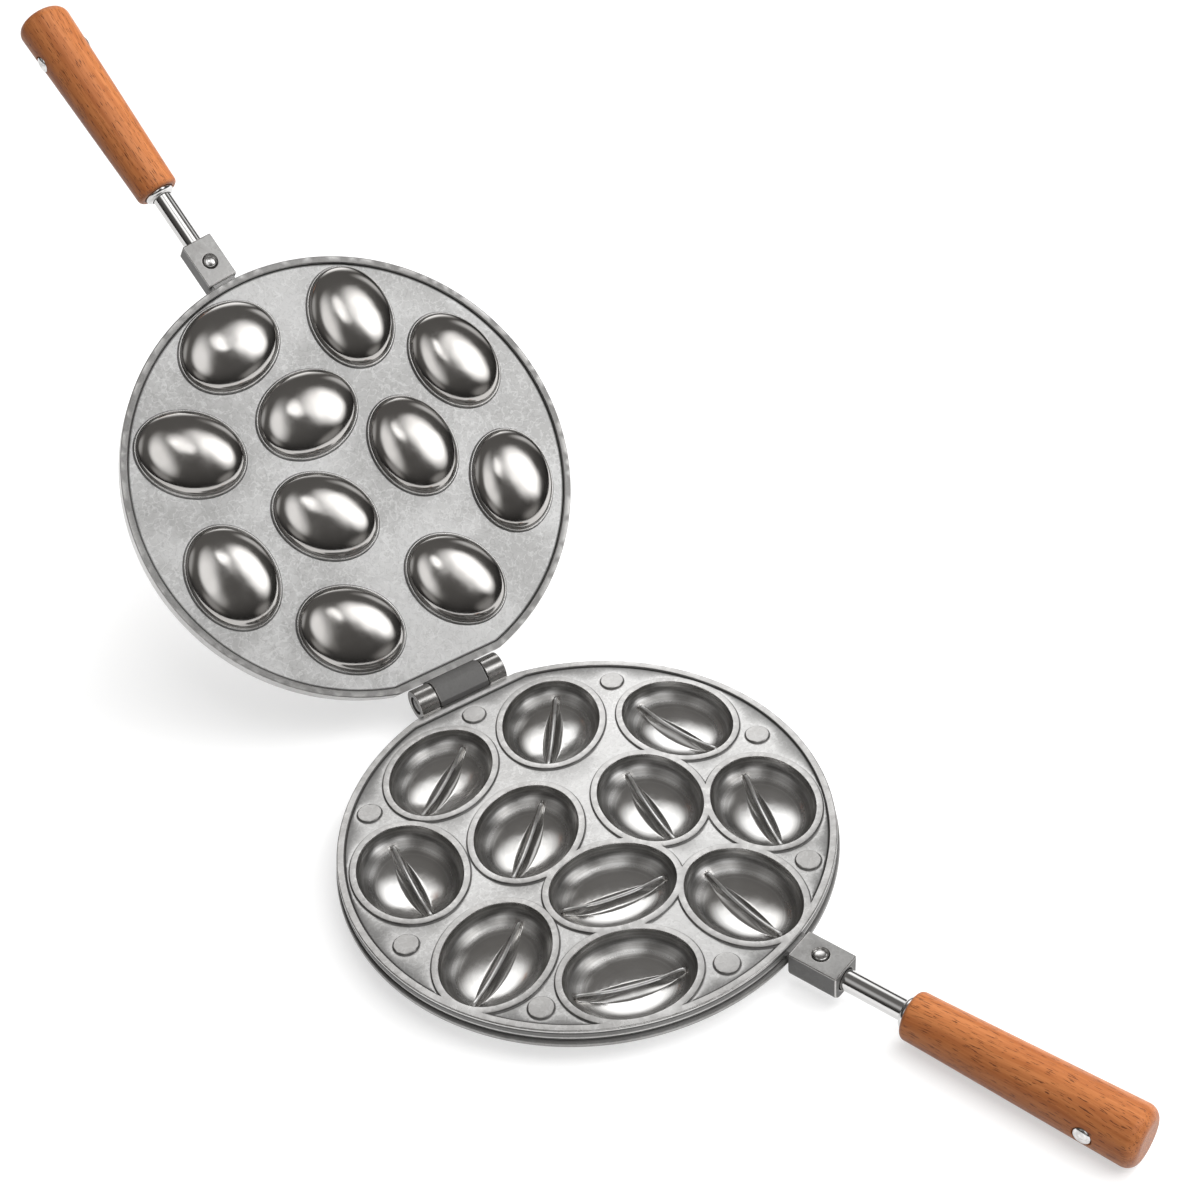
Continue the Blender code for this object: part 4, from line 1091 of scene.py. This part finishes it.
def pin_tree():
    """Tree that makes a pin along Z with a domed head on each end."""
    inputs = dict.fromkeys(("Shank radius", "Head radius", "Dome height", "Seat"), "Float")
    inputs["Metal"] = "Material"
    nodes, (shank, head, dome, seat, steel), keys = start_tree("headed pin", inputs)
    ball = nodes.node(
        "GeometryNodeMeshUVSphere", {}, {"Segments": PIN_STEPS, "Rings": 20, "Radius": 1.0}
    )
    spot = nodes.node("GeometryNodeInputPosition", {}, {})
    height = nodes.node("ShaderNodeSeparateXYZ", {}, {0: spot}, "Z")
    low = nodes.node("FunctionNodeCompare", {"operation": "LESS_THAN"}, {0: height, 1: -0.001})
    cap = nodes.node("GeometryNodeDeleteGeometry", {}, {"Geometry": ball, "Selection": low})
    disc = nodes.node(
        "GeometryNodeMeshCircle", {"fill_type": "NGON"}, {"Vertices": PIN_STEPS, "Radius": 1.0}
    )
    under = nodes.node("GeometryNodeFlipFaces", {}, {"Mesh": disc})
    joined = nodes.node("GeometryNodeJoinGeometry", {}, {"Geometry": [cap, under]})
    closed = nodes.node("GeometryNodeMergeByDistance", {}, {"Geometry": joined, "Distance": 0.001})
    scale = nodes.node("ShaderNodeCombineXYZ", {}, {"X": head, "Y": head, "Z": dome})
    lift = nodes.node("ShaderNodeCombineXYZ", {}, {"Z": seat})
    top = nodes.node(
        "GeometryNodeTransform", {}, {"Geometry": closed, "Translation": lift, "Scale": scale}
    )
    bottom = nodes.node(
        "GeometryNodeTransform", {}, {"Geometry": top, "Rotation": (math.pi, 0.0, 0.0)}
    )
    sizes = {"Vertices": PIN_STEPS, "Radius": shank, "Depth": seat * 2.0}
    bar = nodes.node("GeometryNodeMeshCylinder", {}, sizes, "Mesh")
    whole = nodes.node("GeometryNodeJoinGeometry", {}, {"Geometry": [bar, top, bottom]})
    end_tree(nodes, whole, steel)
    return nodes.tree, keys


PIN_TREE = pin_tree()


def add_pin(node, body, place, sizes, steel=PIN_STEEL):
    """One pin in place of its CAD node, from its shank, head, dome and seat."""
    values = dict(zip(PIN_TREE[1], (*sizes, steel)))
    mesh = made_by(*PIN_TREE, bpy.data.meshes.new(node), values)
    mesh.transform(place)
    show(f"{node}_steel", mesh, body, node)


ACROSS = Matrix.Rotation(math.pi / 2, 4, "X")
pin_place = lower_place @ knuckle_axis @ LIE
pin_sizes = (PIN_RADIUS, PIN_HEAD, 0.9, RECESS_FLOOR + FIT)
add_pin("hinge_pin", "lower_half", pin_place, pin_sizes, DARK_PIN_STEEL)

GRIP_START = 142.1
GRIP_LENGTH = 87.5
GRIP_FRONT, GRIP_REAR = 9.0, 11.3
CROSS_BACK = 18.0
CROSS_PLACE = GRIP_START + GRIP_LENGTH - CROSS_BACK
CROSS_SEAT = GRIP_FRONT + (GRIP_REAR - GRIP_FRONT) * (1.0 - CROSS_BACK / GRIP_LENGTH) - 1.0
RIVET = (1.6, 2.4, 0.6, 6.0 - RECESS_DEPTH + FIT)
CROSS_PIN = (1.8, 3.4, 1.4, CROSS_SEAT + FIT)
halves = (
    ("lower", "lower_half", lower_place @ LOWER_HANDLE),
    ("upper", "upper_half", upper_place @ UPPER_HANDLE),
)
rivet_place = Matrix.Translation((RIVET_PLACE, 0.0, -ROD_DEPTH))
cross_place = Matrix.Translation((CROSS_PLACE, 0.0, -ROD_DEPTH))
for half, body, place in halves:
    add_pin(f"{half}_socket_rivet", body, place @ rivet_place, RIVET)
    add_pin(f"{half}_grip_pin", body, place @ cross_place @ ACROSS, CROSS_PIN)


# Each handle rod is plated steel bar that runs from its socket into its grip, with a
# polished ring let into the front of the grip round it.
PLATING = (0.60, 0.595, 0.59, 1.0)


def plated_steel(tree):
    """Bright plating with faint lengthwise polishing marks."""
    spot = tree.attribute("place", "Vector")
    marks = tree.noise(tree.stretched(spot, (0.05, 2.4, 2.4)), 1.0, 3.0, 0.65)
    return {
        "Base Color": PLATING,
        "Metallic": 1.0,
        "Roughness": marks.between(0.3, 0.75, 0.07, 0.19),
        "Normal": tree.bump(marks, 0.12, 0.00006),
    }


PLATED = finish("plated steel", plated_steel)


def turned(name, profile, steps, closed=False):
    """Turned piece about a handle's axis: a profile of distance along it and radius."""
    axis = (0.0, -ROD_DEPTH)
    stack = [np.insert(circle(radius, steps, axis), 0, along, 1) for along, radius in profile]
    if closed:
        stack.append(stack[0])
    points, faces = rings(stack)
    return outward(name, points.tolist(), faces)


def put(mesh, place):
    """Move a mesh to its place, and keep where each point lay on the piece."""
    points = np.zeros(len(mesh.vertices) * 3, np.float32)
    mesh.vertices.foreach_get("co", points)
    layer = mesh.attributes.new("place", "FLOAT_VECTOR", "POINT")
    layer.data.foreach_set("vector", points)
    mesh.transform(place)
    return mesh


ROD_START, ROD_END = 98.6, 218.1
ROD_EDGE = 0.4
RING_OUTER, RING_INNER = 6.25, 4.3
RING_NOSE = GRIP_START - 2.2
RING_BACK = GRIP_START + 5.0
ring_wall = RING_OUTER - RING_INNER
bar = [(ROD_START, 0.0), (ROD_START, ROD_RADIUS - ROD_EDGE), (ROD_START + ROD_EDGE, ROD_RADIUS)]
bar += [(ROD_START + k * (ROD_END - ROD_START) / 8, ROD_RADIUS) for k in range(1, 8)]
bar += [(ROD_END - ROD_EDGE, ROD_RADIUS), (ROD_END, ROD_RADIUS - ROD_EDGE), (ROD_END, 0.0)]
section = bend((RING_NOSE + ring_wall, RING_INNER), ring_wall, 180, 90, 10)
section += [(RING_BACK - 0.2, RING_OUTER), (RING_BACK, RING_OUTER - 0.2), (RING_BACK, RING_INNER)]
for half, body, place in halves:
    mesh = put(turned("rod", bar, 64), place)
    show(f"{half}_rod_plated", mesh, body, f"{half}_rod", PLATED)
    mesh = put(turned("ring", section, 64, closed=True), place)
    show(f"{half}_ferrule_ring", mesh, body, f"{half}_ferrule", PLATED)


# Each grip is turned from beech, stained red-brown and oiled. It swells towards a
# well-rounded rear end, is bored for the rod and the ring, and is sunk on both sides
# for the heads of the cross-pin.
BEECH_TONES = ((0.47, 0.172, 0.058, 1.0), (0.33, 0.102, 0.031, 1.0))
BEECH_STREAK = (0.25, 0.072, 0.021, 1.0)
BEECH_PORE = (0.08, 0.023, 0.010, 1.0)


def oiled_beech(tree):
    """Stained beech: long soft grain, short dark pores, and a satin oil finish."""
    spot = tree.attribute("place", "Vector")
    wander = tree.noise(tree.stretched(spot, (0.012, 0.05, 0.05)), 1.0, 2.0, 0.5)
    aside = tree.node("ShaderNodeCombineXYZ", {}, {1: wander, 2: wander * 0.6})
    added = {0: aside, 1: (0.0, 7.0, 7.0), 2: spot}
    shifted = tree.node("ShaderNodeVectorMath", {"operation": "MULTIPLY_ADD"}, added)
    grain = tree.noise(tree.stretched(shifted, (0.018, 0.55, 0.34)), 1.0, 3.0, 0.6)
    fine = tree.noise(tree.stretched(shifted, (0.05, 2.6, 2.6)), 1.0, 3.0, 0.65)
    pores = tree.noise(tree.stretched(shifted, (0.26, 3.1, 3.1)), 1.0, 1.0, 0.4)
    pore = pores.between(0.62, 0.68)
    tone = tree.mix(grain.between(0.30, 0.72), *BEECH_TONES)
    streaked = tree.mix(fine.between(0.45, 0.78) * 0.45, tone, BEECH_STREAK)
    return {
        "Base Color": tree.mix(pore * 0.9, streaked, BEECH_PORE),
        "Roughness": fine.between(0.3, 0.8, 0.36, 0.50),
        "Specular IOR Level": 0.25,
        "Normal": tree.bump(fine * 0.5 - pore * 1.2, 0.35, 0.00012),
    }


BEECH = finish("oiled beech", oiled_beech)
FRONT_EDGE, REAR_EDGE = 2.0, 4.5
GRIP_END = GRIP_START + GRIP_LENGTH
BORE_END = GRIP_START + 76.3
SINK_RADIUS = 3.7
SINK_END = CROSS_SEAT + 5.0
taper = (GRIP_REAR - GRIP_FRONT) / GRIP_LENGTH
outline = bend((GRIP_START + FRONT_EDGE, GRIP_FRONT - 1.9), FRONT_EDGE, 180, 90, 8)
first = FRONT_EDGE + 0.2
for k in range(1, 14):
    along = first + (GRIP_LENGTH - first - REAR_EDGE) * k / 14
    outline.append((GRIP_START + along, GRIP_FRONT + taper * along))
rear_round = (GRIP_END - REAR_EDGE, GRIP_REAR - taper * REAR_EDGE - REAR_EDGE)
outline += bend(rear_round, REAR_EDGE, 90, 0, 16) + [(GRIP_END, 0.0)]
bore = [(BORE_END, 0.0), (BORE_END, ROD_RADIUS + FIT), (RING_BACK + FIT, ROD_RADIUS + FIT)]
bore += [(RING_BACK + FIT, RING_OUTER + FIT), (GRIP_START + 0.1, RING_OUTER + FIT)]
sideways = cross_place @ Matrix.Rotation(math.pi / 2, 4, "Z")
for half, body, place in halves:
    sinks = [drill(SINK_RADIUS, CROSS_SEAT, SINK_END, sideways)]
    sinks.append(drill(SINK_RADIUS, -SINK_END, -CROSS_SEAT, sideways))
    blank = turned("grip", bore + outline, 96)
    mesh = put(worked(blank, sinks, 0.3, 2, held_back=True), place)
    show(f"{half}_grip_beech", mesh, body, f"{half}_grip", BEECH)


# The mould lies on a pale matt floor in a plain studio: the floor lifts itself to white
# where the camera, a mirror or glass sees it, soft panels light the metal, and two
# broad lamps light the rest. The camera has the photograph's angle.
FLOOR_GREY = (0.54, 0.54, 0.54, 1.0)
WHITE = (1.0, 1.0, 1.0, 1.0)
floor_mesh = bpy.data.meshes.new("floor")
corners = [(-40, -40, 0), (40, -40, 0), (40, 40, 0), (-40, 40, 0)]
floor_mesh.from_pydata(corners, [], [(0, 1, 2, 3)])
floor = in_scene("floor", floor_mesh)
pale = bpy.data.materials.new("pale floor")
pale.use_nodes = True
pale.node_tree.nodes.clear()
tree = Tree(pale.node_tree)
matt = tree.node("ShaderNodeBsdfDiffuse", {}, {"Color": FLOOR_GREY})
path = pale.node_tree.nodes.new("ShaderNodeLightPath")
seen, mirrored, through = (
    Wire(tree, path.outputs[f"Is {kind} Ray"]) for kind in ("Camera", "Glossy", "Transmission")
)
here = tree.node("ShaderNodeTexCoord", {}, {}, "Object")
away = tree.node("ShaderNodeVectorMath", {"operation": "LENGTH"}, {0: here}, "Value")
raised = (seen + mirrored + through) * away.between(0.5, 2.5, 0.52, 1.0)
lift = tree.node("ShaderNodeEmission", {}, {"Color": WHITE, "Strength": raised})
both = tree.node("ShaderNodeAddShader", {}, {0: matt, 1: lift})
tree.node("ShaderNodeOutputMaterial", {}, {"Surface": both})
floor_mesh.materials.append(pale)

world = bpy.data.worlds.new("studio")
bpy.context.scene.world = world
world.use_nodes = True
tree = Tree(world.node_tree)
ray = tree.node("ShaderNodeTexCoord", {}, {}, "Generated")


def panel(toward, half, strength):
    """Bright patch of the room with soft edges, its half sizes given as tangents."""
    middle = Vector(toward).normalized()
    across = middle.cross(Vector((0.0, 0.0, 1.0))).normalized()
    over = across.cross(middle)
    axes = (across / half[0], over / half[1], middle)
    settings = {"operation": "DOT_PRODUCT"}
    side, rise, front = (
        tree.node("ShaderNodeVectorMath", settings, {0: ray, 1: axis}, "Value") for axis in axes
    )
    reach = (side * side + rise * rise) ** 0.5
    return reach.between(0.30, 1.0, strength, 0.0) * front.between(0.0, 0.1)


height = tree.node("ShaderNodeSeparateXYZ", {}, {0: ray}, "Z")
light = height.between(0.0, 1.0, 0.03, 0.18)
for toward, half, strength in (
    ((0.40, 0.75, 0.66), (0.52, 0.42), 1.9),
    ((0.52, -0.54, 0.71), (0.27, 0.46), 3.2),
    ((0.16, -0.44, 0.90), (0.09, 0.19), 3.0),
    ((-0.22, -0.48, 0.80), (0.32, 0.52), 1.5),
    ((0.44, -0.88, 0.20), (0.30, 0.26), 0.4),
    ((-0.60, -0.66, 0.42), (0.30, 0.30), 0.4),
    ((0.80, 0.10, 0.50), (0.20, 0.46), 0.9),
    ((-0.60, 0.20, 0.60), (0.36, 0.46), 0.5),
):
    light = light + panel(toward, half, strength)
tint = tree.mix(light.between(0.1, 0.8), (1.0, 0.965, 0.93, 1.0), WHITE)
tree.fill(world.node_tree.nodes["Background"], {"Color": tint, "Strength": light})


def lamp(name, spot, target, side, power):
    """Soft square lamp that looks at a target, unseen in mirrors."""
    light = bpy.data.lights.new(name, "AREA")
    light.shape = "RECTANGLE"
    light.size = light.size_y = side
    light.energy = power
    obj = in_scene(name, light)
    obj.location = spot
    obj.rotation_euler = (Vector(target) - Vector(spot)).to_track_quat("-Z", "Y").to_euler()
    obj.visible_glossy = False


lamp("key", (1.15, 0.07, 0.80), (0.0, 0.0, 0.03), 0.60, 16.0)
lamp("fill", (0.25, -0.55, 1.35), (0.0, 0.0, 0.10), 1.10, 17.0)

camera_data = bpy.data.cameras.new("camera")
camera_data.sensor_width = 36.0
camera_data.lens = 57.07
camera = in_scene("camera", camera_data)
forward = Vector((0.3773, 0.6692, -0.6402)).normalized()
upward = Vector((0.8388, -0.5400, -0.0701)).cross(forward).normalized()
right = forward.cross(upward)
spot = lower_place.translation + Vector((-0.23307, -0.44048, 0.52581))
turned_to = Matrix((right, upward, -forward)).transposed().to_4x4()
camera.matrix_world = Matrix.Translation(spot) @ turned_to
bpy.context.scene.camera = camera
bpy.context.scene.view_settings.view_transform = "Standard"
